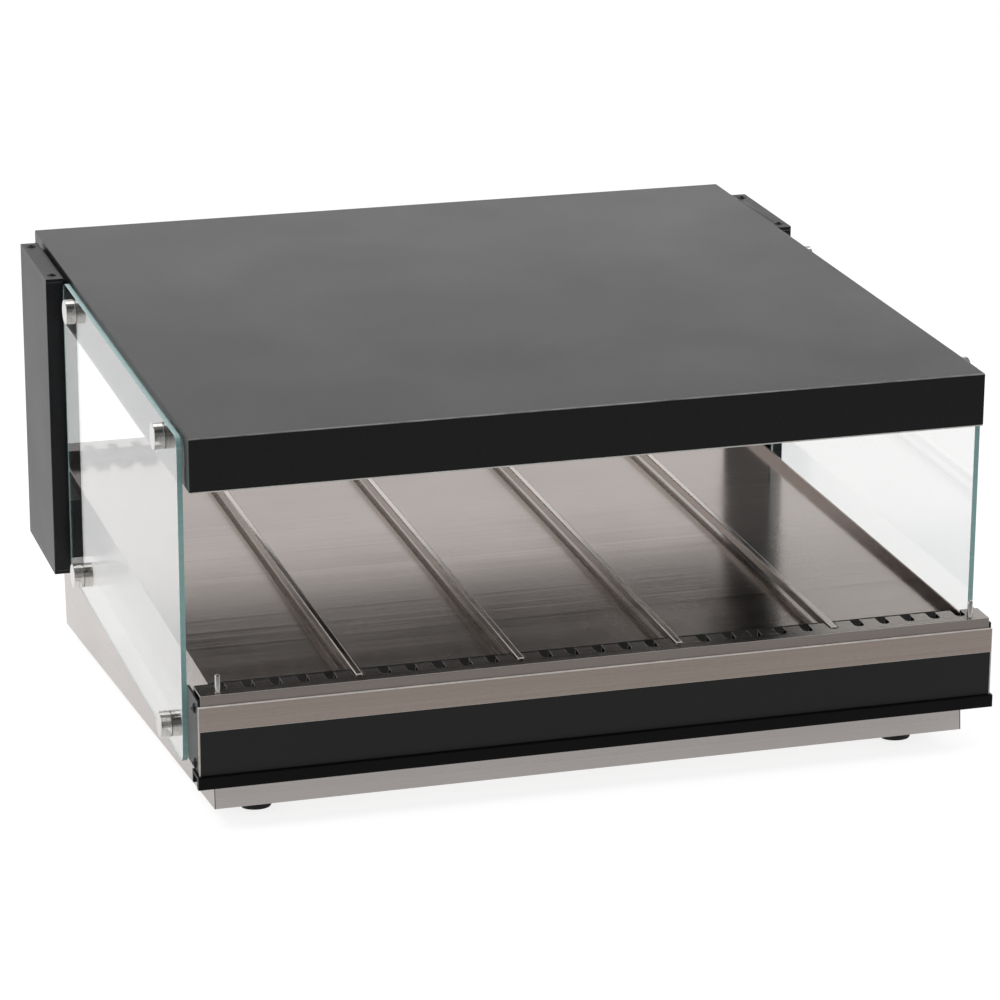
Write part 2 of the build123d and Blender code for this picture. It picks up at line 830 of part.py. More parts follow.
sill_half = trim_width / 2 + sill_overhang
with BuildPart(slope) as front_sill:
    block(
        (-sill_half, sill_half),
        (trim_front - sill_wall, trim_front + sill_reach),
        (sill_bottom, trim_bottom),
    )
    block(
        (-sill_half - cut_margin, sill_half + cut_margin),
        (trim_front + sill_wall, trim_front + sill_reach - sill_wall),
        (sill_bottom - cut_margin, trim_bottom - sill_wall),
        Mode.SUBTRACT,
    )
    fillet(front_sill.edges().filter_by(Axis.X).sort_by(Axis.Y)[:2], sill_round)
write_part(front_sill.part, "front_sill")

end_plate_inner = rail_length / 2
end_plate_outer = end_plate_inner + end_plate_thickness
end_plate_top = rail_top - end_plate_drop
end_screw_levels = (end_plate_top - end_screw_margins[0], trim_bottom + end_screw_margins[1])
end_screw_place = rail_front + end_screw_inset
for name, side in sides.items():
    with BuildPart(slope) as end_plate:
        block(
            sided(side, end_plate_inner, end_plate_outer),
            (rail_front, rail_front + end_plate_length),
            (trim_bottom, end_plate_top),
        )
        for level in end_screw_levels:
            rod_along_x(
                end_screw_shank / 2 + hole_clearance,
                side * (end_plate_inner - cut_margin),
                side * (end_plate_outer + cut_margin),
                end_screw_place,
                level,
                Mode.SUBTRACT,
            )
    write_part(end_plate.part, f"end_plate_{name}")

with BuildPart(slope) as end_plate_screws:
    for side in sides.values():
        for level in end_screw_levels:
            rod_along_x(
                end_screw_diameter / 2,
                side * end_plate_outer,
                side * (end_plate_outer + end_screw_head),
                end_screw_place,
                level,
            )
            rod_along_x(
                end_screw_shank / 2,
                side * (end_plate_outer - end_screw_length),
                side * end_plate_outer,
                end_screw_place,
                level,
            )
write_part(end_plate_screws.part, "end_plate_screws")

# Glass sides, held off the canopy and the shelf by round standoffs

cap_face = glass_outer + standoff_cap
for name, side in sides.items():
    inner_face = across(side * glass_inner)
    with BuildPart() as glass:
        with BuildSketch(inner_face):
            with Locations(((glass_front + glass_rear) / 2, (glass_top + glass_bottom) / 2)):
                RectangleRounded(glass_length, glass_top - glass_bottom, glass_corner)
            with Locations(*[(u, n) for u in standoff_places for n in (standoff_top, standoff_bottom)]):
                Circle(standoff_hole / 2, mode=Mode.SUBTRACT)
        extrude(amount=side * glass_thickness)
    write_part(glass.part, f"glass_{name}")

    with BuildPart(slope) as standoff_caps:
        for u in standoff_places:
            for n, seat in ((standoff_top, canopy_width / 2), (standoff_bottom, shelf_side)):
                rod_along_x(standoff_diameter / 2, side * glass_outer, side * cap_face, u, n)
                rod_along_x(standoff_stud / 2, side * (seat - stud_grip), side * glass_outer, u, n)
        outer_faces = standoff_caps.faces().filter_by(Axis.X).sort_by(Axis.X, reverse=side > 0)[:4]
        chamfer(outer_faces.edges(), standoff_chamfer)
    write_part(standoff_caps.part, f"standoff_caps_{name}")

with BuildPart(slope) as standoff_spacers:
    for side in sides.values():
        for u in standoff_places:
            for n, seat in ((standoff_top, canopy_width / 2), (standoff_bottom, shelf_side)):
                rod_along_x(standoff_diameter / 2, side * seat, side * glass_inner, u, n)
                rod_along_x(
                    standoff_stud / 2 + hole_clearance,
                    side * (seat - cut_margin),
                    side * (glass_inner + cut_margin),
                    u,
                    n,
                    Mode.SUBTRACT,
                )
write_part(standoff_spacers.part, "standoff_spacers")

# Columns: black tubes with screw channels, closed by screwed caps

tube_top = column_top - column_cap
tube_bottom = column_bottom + column_cap
column_centre = (column_inner + column_outer) / 2
cap_screw_places = [column_front + cap_screw_inset, column_rear - cap_screw_inset]
for name, side in sides.items():
    with BuildPart(slope) as column:
        block(
            sided(side, column_inner, column_outer),
            (column_front, column_rear),
            (tube_bottom, tube_top),
        )
        fillet(column.edges().filter_by(upright), column_edge_round)
        block(
            sided(side, column_inner + column_wall, column_outer - column_wall),
            (column_front + column_wall, column_rear - column_wall),
            (tube_bottom - cut_margin, tube_top + cut_margin),
            Mode.SUBTRACT,
        )
        for u in cap_screw_places:
            block(
                sided(side, column_inner + column_wall, column_outer - column_wall),
                (u - channel_width / 2, u + channel_width / 2),
                (tube_bottom, tube_top),
            )
            with Locations((side * column_centre, u, (tube_top + tube_bottom) / 2)):
                Cylinder(cap_screw_shank / 2 + hole_clearance, tube_top - tube_bottom, mode=Mode.SUBTRACT)
        for u in bolt_places:
            for n in (-bolt_line, bracket_line):
                rod_along_x(
                    bolt_diameter / 2 + hole_clearance,
                    side * (column_inner - cut_margin),
                    side * (column_inner + 2 * column_wall),
                    u,
                    n,
                    Mode.SUBTRACT,
                )
        if side < 0:
            for n in (-bolt_line, bracket_line):
                rod_along_x(
                    lead_hole,
                    side * (column_inner - cut_margin),
                    side * (column_inner + 2 * column_wall),
                    column_middle,
                    n,
                    Mode.SUBTRACT,
                )
    write_part(column.part, f"column_{name}")

with BuildPart(slope) as column_top_caps:
    for side in sides.values():
        block(
            sided(side, column_inner, column_outer),
            (column_front, column_rear),
            (tube_top, column_top),
        )
    fillet(column_top_caps.edges().filter_by(upright), column_edge_round)
    for side in sides.values():
        with Locations(*[(side * column_centre, u, column_top) for u in cap_screw_places]):
            Cylinder(cap_screw_head / 2 + cap_recess_clearance, 2 * cap_screw_head_height, mode=Mode.SUBTRACT)
            Cylinder(cap_screw_shank / 2 + hole_clearance, 3 * column_cap, mode=Mode.SUBTRACT)
write_part(column_top_caps.part, "column_top_caps")

with BuildPart(slope) as column_bottom_caps:
    for side in sides.values():
        block(
            sided(side, column_inner, column_outer),
            (column_front, column_rear),
            (column_bottom, tube_bottom),
        )
    fillet(column_bottom_caps.edges().filter_by(upright), column_edge_round)
    for side in sides.values():
        with Locations(*[(side * column_centre, u, column_bottom) for u in cap_screw_places]):
            Cylinder(cap_screw_head / 2 + cap_recess_clearance, 2 * cap_screw_head_height, mode=Mode.SUBTRACT)
            Cylinder(cap_screw_shank / 2 + hole_clearance, 3 * column_cap, mode=Mode.SUBTRACT)
write_part(column_bottom_caps.part, "column_bottom_caps")

with BuildPart(slope) as column_cap_screws:
    for side in sides.values():
        for u in cap_screw_places:
            with Locations((side * column_centre, u, column_top - cap_screw_head_height)):
                Cylinder(
                    cap_screw_head / 2,
                    cap_screw_head_height,
                    align=(Align.CENTER, Align.CENTER, Align.MIN),
                )
                Cylinder(
                    cap_screw_shank / 2,
                    cap_screw_length,
                    align=(Align.CENTER, Align.CENTER, Align.MAX),
                )
            with Locations((side * column_centre, u, column_bottom + cap_screw_head_height)):
                Cylinder(
                    cap_screw_head / 2,
                    cap_screw_head_height,
                    align=(Align.CENTER, Align.CENTER, Align.MAX),
                )
                Cylinder(
                    cap_screw_shank / 2,
                    cap_screw_length,
                    align=(Align.CENTER, Align.CENTER, Align.MIN),
                )
write_part(column_cap_screws.part, "column_cap_screws")


# Pads and brackets between the columns and what they carry, with holes for bolts and lead
def spacer_with_holes(seat, low, high, line):
    for side in sides.values():
        block(
            sided(side, seat, column_inner),
            (column_front + pad_margin, column_rear - pad_margin),
            (low, high),
        )
        for u in bolt_places:
            rod_along_x(
                bolt_diameter / 2 + hole_clearance,
                side * (seat - cut_margin),
                side * (column_inner + cut_margin),
                u,
                line,
                Mode.SUBTRACT,
            )
    rod_along_x(lead_hole, -seat + cut_margin, -column_inner - cut_margin, column_middle, line, Mode.SUBTRACT)


with BuildPart(slope) as canopy_pads:
    spacer_with_holes(canopy_width / 2, -pad_drop - pad_height, -pad_drop, -bolt_line)
write_part(canopy_pads.part, "canopy_pads")

with BuildPart(slope) as column_brackets:
    spacer_with_holes(shelf_side, bracket_bottom, bracket_top, bracket_line)
write_part(column_brackets.part, "column_brackets")

canopy_seat = canopy_width / 2 - canopy_sheet
with BuildPart(slope) as column_bolts:
    for side in sides.values():
        for u in bolt_places:
            for seat, n in ((canopy_seat, -bolt_line), (shelf_wall_inner, bracket_line)):
                rod_along_x(bolt_head / 2, side * (seat - bolt_head_height), side * seat, u, n)
                rod_along_x(
                    bolt_diameter / 2,
                    side * seat,
                    side * (column_inner + column_wall + bolt_reach),
                    u,
                    n,
                )
write_part(column_bolts.part, "column_bolts")

# Supply lead from the shelf housing up the left column into the canopy
lead_line = -(column_inner + column_wall + lead_bend + lead_diameter / 2)
lead_plane = Plane(
    origin=slope.from_local_coords((0, column_middle, 0)),
    x_dir=(1, 0, 0),
    z_dir=-slope.y_dir,
)
with BuildPart() as supply_lead:
    with BuildLine(lead_plane) as lead_path:
        FilletPolyline(
            (-canopy_seat + lead_tail, -bolt_line),
            (lead_line, -bolt_line),
            (lead_line, bracket_line),
            (-shelf_wall_inner + lead_tail, bracket_line),
            radius=lead_bend,
        )
    with BuildSketch(Plane(origin=lead_path.line @ 0, z_dir=lead_path.line % 0)):
        Circle(lead_diameter / 2)
    sweep(path=lead_path.line)
write_part(supply_lead.part, "supply_lead")

# Canopy: painted shell open below, insulation under its top, steel liner closing it

with BuildPart(slope) as canopy_shell:
    block((-canopy_width / 2, canopy_width / 2), (0, canopy_length), (canopy_bottom, 0))
    fillet(
        canopy_shell.faces().sort_by(upright)[-1].edges() + canopy_shell.edges().filter_by(upright),
        canopy_edge_round,
    )
    block(
        (-canopy_seat, canopy_seat),
        (canopy_sheet, canopy_length - canopy_sheet),
        (canopy_bottom - cut_margin, -canopy_sheet),
        Mode.SUBTRACT,
    )
    for side in sides.values():
        for u in bolt_places:
            rod_along_x(
                bolt_diameter / 2 + hole_clearance,
                side * (canopy_seat - cut_margin),
                side * (canopy_width / 2 + cut_margin),
                u,
                -bolt_line,
                Mode.SUBTRACT,
            )
        for u in standoff_places:
            rod_along_x(
                standoff_stud / 2 + hole_clearance,
                side * (canopy_seat - cut_margin),
                side * (canopy_width / 2 + cut_margin),
                u,
                standoff_top,
                Mode.SUBTRACT,
            )
    rod_along_x(
        lead_hole,
        -canopy_seat + cut_margin,
        -canopy_width / 2 - cut_margin,
        column_middle,
        -bolt_line,
        Mode.SUBTRACT,
    )
write_part(canopy_shell.part, "canopy_shell")

with BuildPart(slope) as canopy_insulation:
    block(
        (-canopy_seat + canopy_insulation_margin, canopy_seat - canopy_insulation_margin),
        (canopy_sheet + canopy_insulation_margin, canopy_length - canopy_sheet - canopy_insulation_margin),
        (-canopy_sheet - canopy_insulation_thickness, -canopy_sheet),
    )
write_part(canopy_insulation.part, "canopy_insulation")

liner_half = canopy_width / 2 - liner_inset
with BuildPart(slope) as canopy_liner:
    block(
        (-liner_half, liner_half),
        (liner_inset, canopy_length - liner_inset),
        (liner_bottom, canopy_bottom),
    )
    for u in heater_rows.values():
        block(
            (-window_length / 2, window_length / 2),
            (u - window_width / 2, u + window_width / 2),
            (liner_bottom - cut_margin, canopy_bottom + cut_margin),
            Mode.SUBTRACT,
        )
write_part(canopy_liner.part, "canopy_liner")

# Radiant heaters: reflector trough, element, ceramic holders and wire guard in each row
element_level = -element_drop
reflector_top = canopy_bottom + reflector_height
element_half = window_length / 2 + element_reach
for name, u in heater_rows.items():
    outer_profile = [
        (u - window_width / 2 - reflector_sheet, canopy_bottom),
        (u + window_width / 2 + reflector_sheet, canopy_bottom),
        (u + reflector_top_width / 2, reflector_top),
        (u - reflector_top_width / 2, reflector_top),
    ]
    inner_profile = [
        (u - window_width / 2, canopy_bottom),
        (u + window_width / 2, canopy_bottom),
        (u + reflector_top_width / 2 - reflector_sheet, reflector_top - reflector_sheet),
        (u - reflector_top_width / 2 + reflector_sheet, reflector_top - reflector_sheet),
    ]
    with BuildPart(slope) as reflector:
        block(
            (-window_length / 2 - reflector_flange, window_length / 2 + reflector_flange),
            (u - window_width / 2 - reflector_flange, u + window_width / 2 + reflector_flange),
            (canopy_bottom, canopy_bottom + reflector_sheet),
        )
        with BuildSketch(across(0)):
            Polygon(*outer_profile, align=None)
        extrude(amount=window_length / 2 + reflector_sheet, both=True)
        with BuildSketch(across(0)):
            Polygon(*inner_profile, align=None)
        extrude(amount=window_length / 2, both=True, mode=Mode.SUBTRACT)
        rod_along_x(
            element_diameter / 2 + hole_clearance,
            -element_half,
            element_half,
            u,
            element_level,
            Mode.SUBTRACT,
        )
    write_part(reflector.part, f"reflector_{name}")

    with BuildPart(slope) as heater_element:
        rod_along_x(element_diameter / 2, -element_half, element_half, u, element_level)
    write_part(heater_element.part, f"heater_element_{name}")

    guard_half = window_length / 2 + guard_overlap
    guard_line = window_width / 2 + guard_overlap
    guard_level = liner_bottom - guard_frame_wire / 2
    guard_count = int(window_length // guard_pitch) + 1
    with BuildPart(slope) as heater_guard:
        for edge in (-1, 1):
            rod_along_x(guard_frame_wire / 2, -guard_half, guard_half, u + edge * guard_line, guard_level)
        with Locations((0, u, guard_level)):
            with GridLocations(guard_pitch, 1, guard_count, 1):
                Cylinder(guard_wire / 2, 2 * guard_line, rotation=(90, 0, 0))
    write_part(heater_guard.part, f"heater_guard_{name}")

holder_start = window_length / 2 + reflector_flange + fit
with BuildPart(slope) as heater_holders:
    for side in sides.values():
        for u in heater_rows.values():
            block(
                sided(side, holder_start, holder_start + holder_thickness),
                (u - holder_width / 2, u + holder_width / 2),
                (canopy_bottom, element_level + holder_width / 2),
            )
            rod_along_x(
                element_diameter / 2 + hole_clearance,
                side * (holder_start - cut_margin),
                side * (holder_start + holder_thickness + cut_margin),
                u,
                element_level,
                Mode.SUBTRACT,
            )
write_part(heater_holders.part, "heater_holders")

with BuildPart(slope) as canopy_terminal_block:
    terminal_block(-canopy_seat + 3 * terminal_depth, column_middle, canopy_bottom)
write_part(canopy_terminal_block.part, "canopy_terminal_block")
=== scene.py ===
import json
from math import cos, pi, radians, sin

import bmesh
import bpy
from mathutils import Matrix, Vector


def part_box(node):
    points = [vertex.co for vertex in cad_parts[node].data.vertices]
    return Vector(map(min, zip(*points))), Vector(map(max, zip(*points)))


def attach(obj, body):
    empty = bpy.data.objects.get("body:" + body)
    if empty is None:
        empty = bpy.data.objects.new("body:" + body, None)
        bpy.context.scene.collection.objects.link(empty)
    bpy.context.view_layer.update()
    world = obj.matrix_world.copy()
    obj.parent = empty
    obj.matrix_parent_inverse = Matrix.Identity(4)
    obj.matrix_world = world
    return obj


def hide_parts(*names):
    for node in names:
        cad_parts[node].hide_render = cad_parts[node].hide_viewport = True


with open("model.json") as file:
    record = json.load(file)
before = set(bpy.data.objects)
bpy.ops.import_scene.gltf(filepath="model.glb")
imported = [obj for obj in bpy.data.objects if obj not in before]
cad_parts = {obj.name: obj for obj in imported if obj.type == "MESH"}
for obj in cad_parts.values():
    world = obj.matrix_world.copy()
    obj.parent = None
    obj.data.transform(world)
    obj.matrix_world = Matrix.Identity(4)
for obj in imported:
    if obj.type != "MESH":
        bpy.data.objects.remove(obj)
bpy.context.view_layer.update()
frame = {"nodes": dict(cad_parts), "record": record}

nodes = frame["nodes"]

# The case's sloping frame: x to the right, u up the slope to the rear, n square to the canopy
slope_angle = radians(6.2)
front_edge_y = -0.314671
front_edge_height = 0.293
slope = Matrix.Translation((0, front_edge_y, front_edge_height)) @ Matrix.Rotation(slope_angle, 4, "X")
slope_up = Vector((0, -sin(slope_angle), cos(slope_angle)))

# The rear panel's frame, as seen from behind: a to the right, b up, out of the panel
rear_face_y = 0.305059
rear = Matrix.Translation((0, rear_face_y, 0)) @ Matrix(
    ((-1, 0, 0, 0), (0, 0, 1, 0), (0, 1, 0, 0), (0, 0, 0, 1))
)

sides = {"left": -1, "right": 1}


# Node tools

def new_material(name):
    material = bpy.data.materials.new(name)
    material.use_nodes = True
    tree = material.node_tree
    tree.nodes.clear()
    output = tree.nodes.new("ShaderNodeOutputMaterial")
    shader = tree.nodes.new("ShaderNodeBsdfPrincipled")
    tree.links.new(shader.outputs["BSDF"], output.inputs["Surface"])
    return material, shader


# Noise in object coordinates, drawn out along an axis by a smaller scale there
def grain(material, scale, detail, roughness=0.55, distortion=0.0):
    tree = material.node_tree
    coordinates = tree.nodes.new("ShaderNodeTexCoord")
    mapping = tree.nodes.new("ShaderNodeMapping")
    mapping.inputs["Scale"].default_value = scale
    noise = tree.nodes.new("ShaderNodeTexNoise")
    noise.inputs["Scale"].default_value = 1.0
    noise.inputs["Detail"].default_value = detail
    noise.inputs["Roughness"].default_value = roughness
    noise.inputs["Distortion"].default_value = distortion
    tree.links.new(coordinates.outputs["Object"], mapping.inputs["Vector"])
    tree.links.new(mapping.outputs["Vector"], noise.inputs["Vector"])
    return noise.outputs["Fac"]


# Value between two limits, following a pattern
def ranged(material, pattern, low, high, start=0.3, end=0.7):
    tree = material.node_tree
    ramp = tree.nodes.new("ShaderNodeMapRange")
    ramp.inputs["From Min"].default_value = start
    ramp.inputs["From Max"].default_value = end
    ramp.inputs["To Min"].default_value = low
    ramp.inputs["To Max"].default_value = high
    tree.links.new(pattern, ramp.inputs["Value"])
    return ramp.outputs["Result"]


# Colour between two tones, following a pattern
def toned(material, pattern, dark, light, start=0.3, end=0.7):
    tree = material.node_tree
    ramp = tree.nodes.new("ShaderNodeValToRGB")
    ramp.color_ramp.elements[0].position = start
    ramp.color_ramp.elements[1].position = end
    ramp.color_ramp.elements[0].color = (*dark, 1)
    ramp.color_ramp.elements[1].color = (*light, 1)
    tree.links.new(pattern, ramp.inputs["Fac"])
    return ramp.outputs["Color"]


def bumped(material, shader, pattern, depth):
    tree = material.node_tree
    bump = tree.nodes.new("ShaderNodeBump")
    bump.inputs["Distance"].default_value = depth
    bump.inputs["Strength"].default_value = 1.0
    tree.links.new(pattern, bump.inputs["Height"])
    tree.links.new(bump.outputs["Normal"], shader.inputs["Normal"])


def linked(material, source, shader, name):
    material.node_tree.links.new(source, shader.inputs[name])


def scaled(colour, factor):
    return tuple(min(1.0, part * factor) for part in colour)


# Base colour between a weaker and a stronger tone of one colour, following a pattern
def shaded(material, shader, pattern, colour, weaker, stronger):
    tones = toned(material, pattern, scaled(colour, weaker), scaled(colour, stronger))
    linked(material, tones, shader, "Base Color")


# Roughness between two limits, following a pattern
def roughened(material, shader, pattern, low, high, start=0.3, end=0.7):
    linked(material, ranged(material, pattern, low, high, start, end), shader, "Roughness")


# Number or another socket's value, given to a socket
def feed(tree, value, socket):
    if isinstance(value, (int, float)):
        socket.default_value = value
    else:
        tree.links.new(value, socket)


# Result of one calculation on two sockets or numbers
def calculated(tree, operation, first, second):
    node = tree.nodes.new("ShaderNodeMath")
    node.operation = operation
    feed(tree, first, node.inputs[0])
    feed(tree, second, node.inputs[1])
    return node.outputs["Value"]


# The first shader where the factor is 0, the second where it is 1
def mixed(tree, factor, first, second):
    mix = tree.nodes.new("ShaderNodeMixShader")
    tree.links.new(factor, mix.inputs["Fac"])
    tree.links.new(first, mix.inputs[1])
    tree.links.new(second, mix.inputs[2])
    return mix.outputs["Shader"]


# Finishes

# Powder coat: a sandy grain in its tone and relief, and faint handling marks in its gloss
def powder_coat(name, colour, roughness, grain_depth, refraction):
    material, shader = new_material(name)
    sand = grain(material, (1150, 1150, 1150), detail=3, roughness=0.7)
    cloud = grain(material, (7, 7, 7), detail=5)
    shaded(material, shader, sand, colour, 0.4, 1.9)
    roughened(material, shader, cloud, roughness - 0.03, roughness + 0.03)
    shader.inputs["IOR"].default_value = refraction
    bumped(material, shader, sand, grain_depth)
    return material


# Powder coat rubbed thin along an edge, and a painted highlight there: a pale line of uneven strength
def rubbed_coat(name, colour, worn_and_lit_colour, roughness):
    material, shader = new_material(name)
    wear_and_highlight = grain(material, (28, 28, 28), detail=6, roughness=0.7)
    linked(material, toned(material, wear_and_highlight, colour, worn_and_lit_colour, 0.3, 0.6), shader, "Base Color")
    roughened(material, shader, wear_and_highlight, roughness, roughness - 0.12)
    bumped(material, shader, wear_and_highlight, 0.00002)
    return material


# Brushed steel: fine lines along one direction, in tone, gloss and relief, which draw out its reflections
def brushed_steel(name, colour, roughness, lines, stretch=0.0, line_depth=0.00002):
    material, shader = new_material(name)
    shader.inputs["Metallic"].default_value = 1.0
    if stretch:
        along = material.node_tree.nodes.new("ShaderNodeCombineXYZ")
        along.inputs["X"].default_value = 1.0
        shader.inputs["Anisotropic"].default_value = stretch
        shader.inputs["Anisotropic Rotation"].default_value = 0.25
        linked(material, along.outputs["Vector"], shader, "Tangent")
    fine = grain(material, lines, detail=6, roughness=0.7)
    cloud = grain(material, (9, 9, 9), detail=4)
    shaded(material, shader, fine, colour, 0.90, 1.09)
    lined = ranged(material, fine, roughness - 0.06, roughness + 0.06)
    clouded = ranged(material, cloud, -0.02, 0.03)
    linked(material, calculated(material.node_tree, "ADD", lined, clouded), shader, "Roughness")
    bumped(material, shader, fine, line_depth)
    return material


# Edge of the sheet in a pale, barely metallic tone: a painted highlight for the bright line along the edge
def sheared_edge(name, colour, metallic=0.12):
    material, shader = new_material(name)
    nibble = grain(material, (160, 160, 160), detail=4)
    shaded(material, shader, nibble, colour, 0.85, 1.08)
    shader.inputs["Metallic"].default_value = metallic
    shader.inputs["Roughness"].default_value = 0.42
    bumped(material, shader, nibble, 0.00003)
    return material


# Polished metal with hairline scratches and a trace of smears
def polished_metal(name, colour, roughness):
    material, shader = new_material(name)
    shader.inputs["Metallic"].default_value = 1.0
    hairlines = grain(material, (300, 2500, 2500), detail=2)
    smear = grain(material, (40, 40, 40), detail=4)
    shaded(material, shader, smear, colour, 0.95, 1.03)
    roughened(material, shader, smear, roughness - 0.02, roughness + 0.05)
    bumped(material, shader, hairlines, 0.000004)
    return material


# Moulded or extruded plastic and rubber, with a fine spark texture
def moulded(name, colour, roughness, texture, depth, coat=0.0):
    material, shader = new_material(name)
    spark = grain(material, (texture, texture, texture), detail=3)
    cloud = grain(material, (18, 18, 18), detail=4)
    shaded(material, shader, cloud, colour, 0.9, 1.12)
    roughened(material, shader, cloud, roughness - 0.04, roughness + 0.05)
    shader.inputs["Coat Weight"].default_value = coat
    shader.inputs["Coat Roughness"].default_value = 0.12
    bumped(material, shader, spark, depth)
    return material


# Fibrous wool of the insulation mats
def wool(name, colour):
    material, shader = new_material(name)
    fibre = grain(material, (260, 260, 900), detail=8, roughness=0.75, distortion=1.2)
    shaded(material, shader, fibre, colour, 0.6, 1.15)
    shader.inputs["Roughness"].default_value = 0.95
    bumped(material, shader, fibre, 0.0008)
    return material


glass_refraction = 1.52


# Clear glass, which lets lamp light through to the case behind it
def clear_glass(name, tint):
    material, shader = new_material(name)
    shader.inputs["Base Color"].default_value = (*tint, 1)
    shader.inputs["Transmission Weight"].default_value = 1.0
    shader.inputs["IOR"].default_value = glass_refraction
    wipe = grain(material, (30, 30, 30), detail=5)
    roughened(material, shader, wipe, 0.0, 0.012, 0.45, 0.8)
    tree = material.node_tree
    path = tree.nodes.new("ShaderNodeLightPath")
    open_way = tree.nodes.new("ShaderNodeBsdfTransparent")
    open_way.inputs["Color"].default_value = (0.93, 0.95, 0.94, 1)
    lit = mixed(tree, path.outputs["Is Shadow Ray"], shader.outputs["BSDF"], open_way.outputs["BSDF"])
    tree.links.new(lit, tree.nodes["Material Output"].inputs["Surface"])
    return material


# Ground and polished rim of the glass, where its green depth shows
def glass_rim(name, colour):
    material, shader = new_material(name)
    streak = grain(material, (60, 60, 1500), detail=3)
    shaded(material, shader, streak, colour, 0.9, 1.1)
    shader.inputs["Roughness"].default_value = 0.18
    shader.inputs["Transmission Weight"].default_value = 0.25
    shader.inputs["IOR"].default_value = glass_refraction
    bumped(material, shader, streak, 0.00001)
    return material


# Brushing directions: across the case, up its slope, and level round the base
along_x = (0.8, 300, 300)
along_slope = (300, 0.8, 300)
along_level = (0.7, 0.7, 300)

# Each finish by its material's name and colour, then its roughness. Powder coat adds the depth of its grain
# and its refraction, brushed steel its direction, the stretch of its reflections and the depth of its lines,
# and moulded surfaces the scale and depth of their texture and the weight of a clear coat.
materials = {
    "painted_black": powder_coat("black powder coat", (0.0045, 0.0047, 0.0062), 0.37, 0.00014, 1.38),
    "painted_top": powder_coat("canopy powder coat", (0.0045, 0.0045, 0.0048), 0.33, 0.00020, 1.42),
    # Pale rubbed line on edges: wear, and partly a painted highlight
    "rubbed_paint_and_highlight": rubbed_coat("rubbed powder coat with painted highlight", (0.07, 0.07, 0.068), (0.26, 0.26, 0.255), 0.4),
    "stainless": brushed_steel("brushed stainless", (0.59, 0.55, 0.53), 0.30, along_level),
    "shelf_stainless": brushed_steel("shelf stainless", (0.385, 0.335, 0.31), 0.165, along_x, 0.6, 0.000012),
    "rail_stainless": brushed_steel("rail stainless", (0.31, 0.275, 0.255), 0.20, along_x, 0.3),
    "trim_stainless": brushed_steel("trim stainless", (0.44, 0.37, 0.33), 0.26, along_x, 0.5),
    "divider_stainless": brushed_steel("divider stainless", (0.60, 0.54, 0.50), 0.20, along_slope),
    # Pale edges: a painted highlight
    "painted_highlight_edge": sheared_edge("sheared edge with painted highlight", (0.74, 0.70, 0.66)),
    # Near-white hem of the liner: a painted highlight
    "liner_hem_painted_highlight": sheared_edge("liner hem with painted highlight", (0.96, 0.93, 0.89), 0.0),
    # Dark steel under the canopy and on the pan's front wall: a heat tint, and painted shade
    "heated_steel": moulded("steel darkened by heat and painted shade", (0.020, 0.016, 0.015), 0.5, 900, 0.00001),
    "zinc_steel": brushed_steel("zinc plated steel", (0.66, 0.66, 0.64), 0.34, (60, 60, 60)),
    "polished_stainless": polished_metal("polished stainless", (0.70, 0.68, 0.655), 0.06),
    "reflector": polished_metal("bright aluminium", (0.86, 0.86, 0.85), 0.12),
    "black_screw": polished_metal("black oxide screw", (0.03, 0.03, 0.032), 0.20),
    "sill_black": moulded("black anodised sill", (0.0012, 0.0012, 0.0014), 0.40, 1500, 0.00002),
    "label_black": moulded("matt black strip", (0.016, 0.016, 0.016), 0.52, 1800, 0.00001),
    "black_plastic": moulded("black moulded plastic", (0.016, 0.016, 0.017), 0.36, 1400, 0.00002, 0.1),
    "rubber": moulded("black rubber", (0.012, 0.012, 0.012), 0.72, 500, 0.00004),
    "terminal_plastic": moulded("terminal nylon", (0.62, 0.60, 0.52), 0.45, 800, 0.00002),
    "insulation": wool("mineral wool", (0.62, 0.58, 0.46)),
    "element_sheath": moulded("oxidised element sheath", (0.075, 0.062, 0.055), 0.48, 700, 0.00003),
    "ceramic": moulded("unglazed ceramic", (0.80, 0.76, 0.68), 0.62, 900, 0.00003),
    "lamp_lens": moulded("amber lens", (1.0, 0.36, 0.02), 0.16, 2200, 0.00001, 0.8),
    "heating_mat": moulded("silicone heating mat", (0.42, 0.10, 0.055), 0.60, 700, 0.00005),
    "lead_sheath": moulded("lead sheath", (0.05, 0.05, 0.05), 0.5, 600, 0.00002),
    "thermostat_case": brushed_steel("pressed thermostat case", (0.55, 0.55, 0.54), 0.36, (50, 50, 50)),
    "glass": clear_glass("clear glass", (0.97, 0.99, 0.985)),
    "glass_rim": glass_rim("green glass rim", (0.40, 0.68, 0.66)),
    # Darker copy of the rim for faces that look up: painted shade
    "glass_rim_painted_shade": glass_rim("green glass rim with painted shade", (0.29, 0.48, 0.475)),
    "dark_print": moulded("dark print", (0.02, 0.02, 0.022), 0.5, 900, 0.000005),
    # Black strip under the front comb: painted shade in the slots
    "painted_slot_shade": moulded("black strip of painted slot shade", (0.004, 0.004, 0.004), 0.8, 500, 0.00003),
    "white_print": moulded("white print", (0.78, 0.78, 0.76), 0.55, 900, 0.000005),
    "nickel": polished_metal("nickel plated pins", (0.70, 0.67, 0.60), 0.18),
}

# The lens lets a little light through, and the dark finishes mirror less than plain plastic
for name, socket, value in (
    ("lamp_lens", "Transmission Weight", 0.1),
    ("sill_black", "IOR", 1.24),
    ("label_black", "IOR", 1.38),
    ("heated_steel", "IOR", 1.12),
):
    materials[name].node_tree.nodes["Principled BSDF"].inputs[socket].default_value = value

divider_nodes = [f"divider_{k}" for k in range(1, 5)]

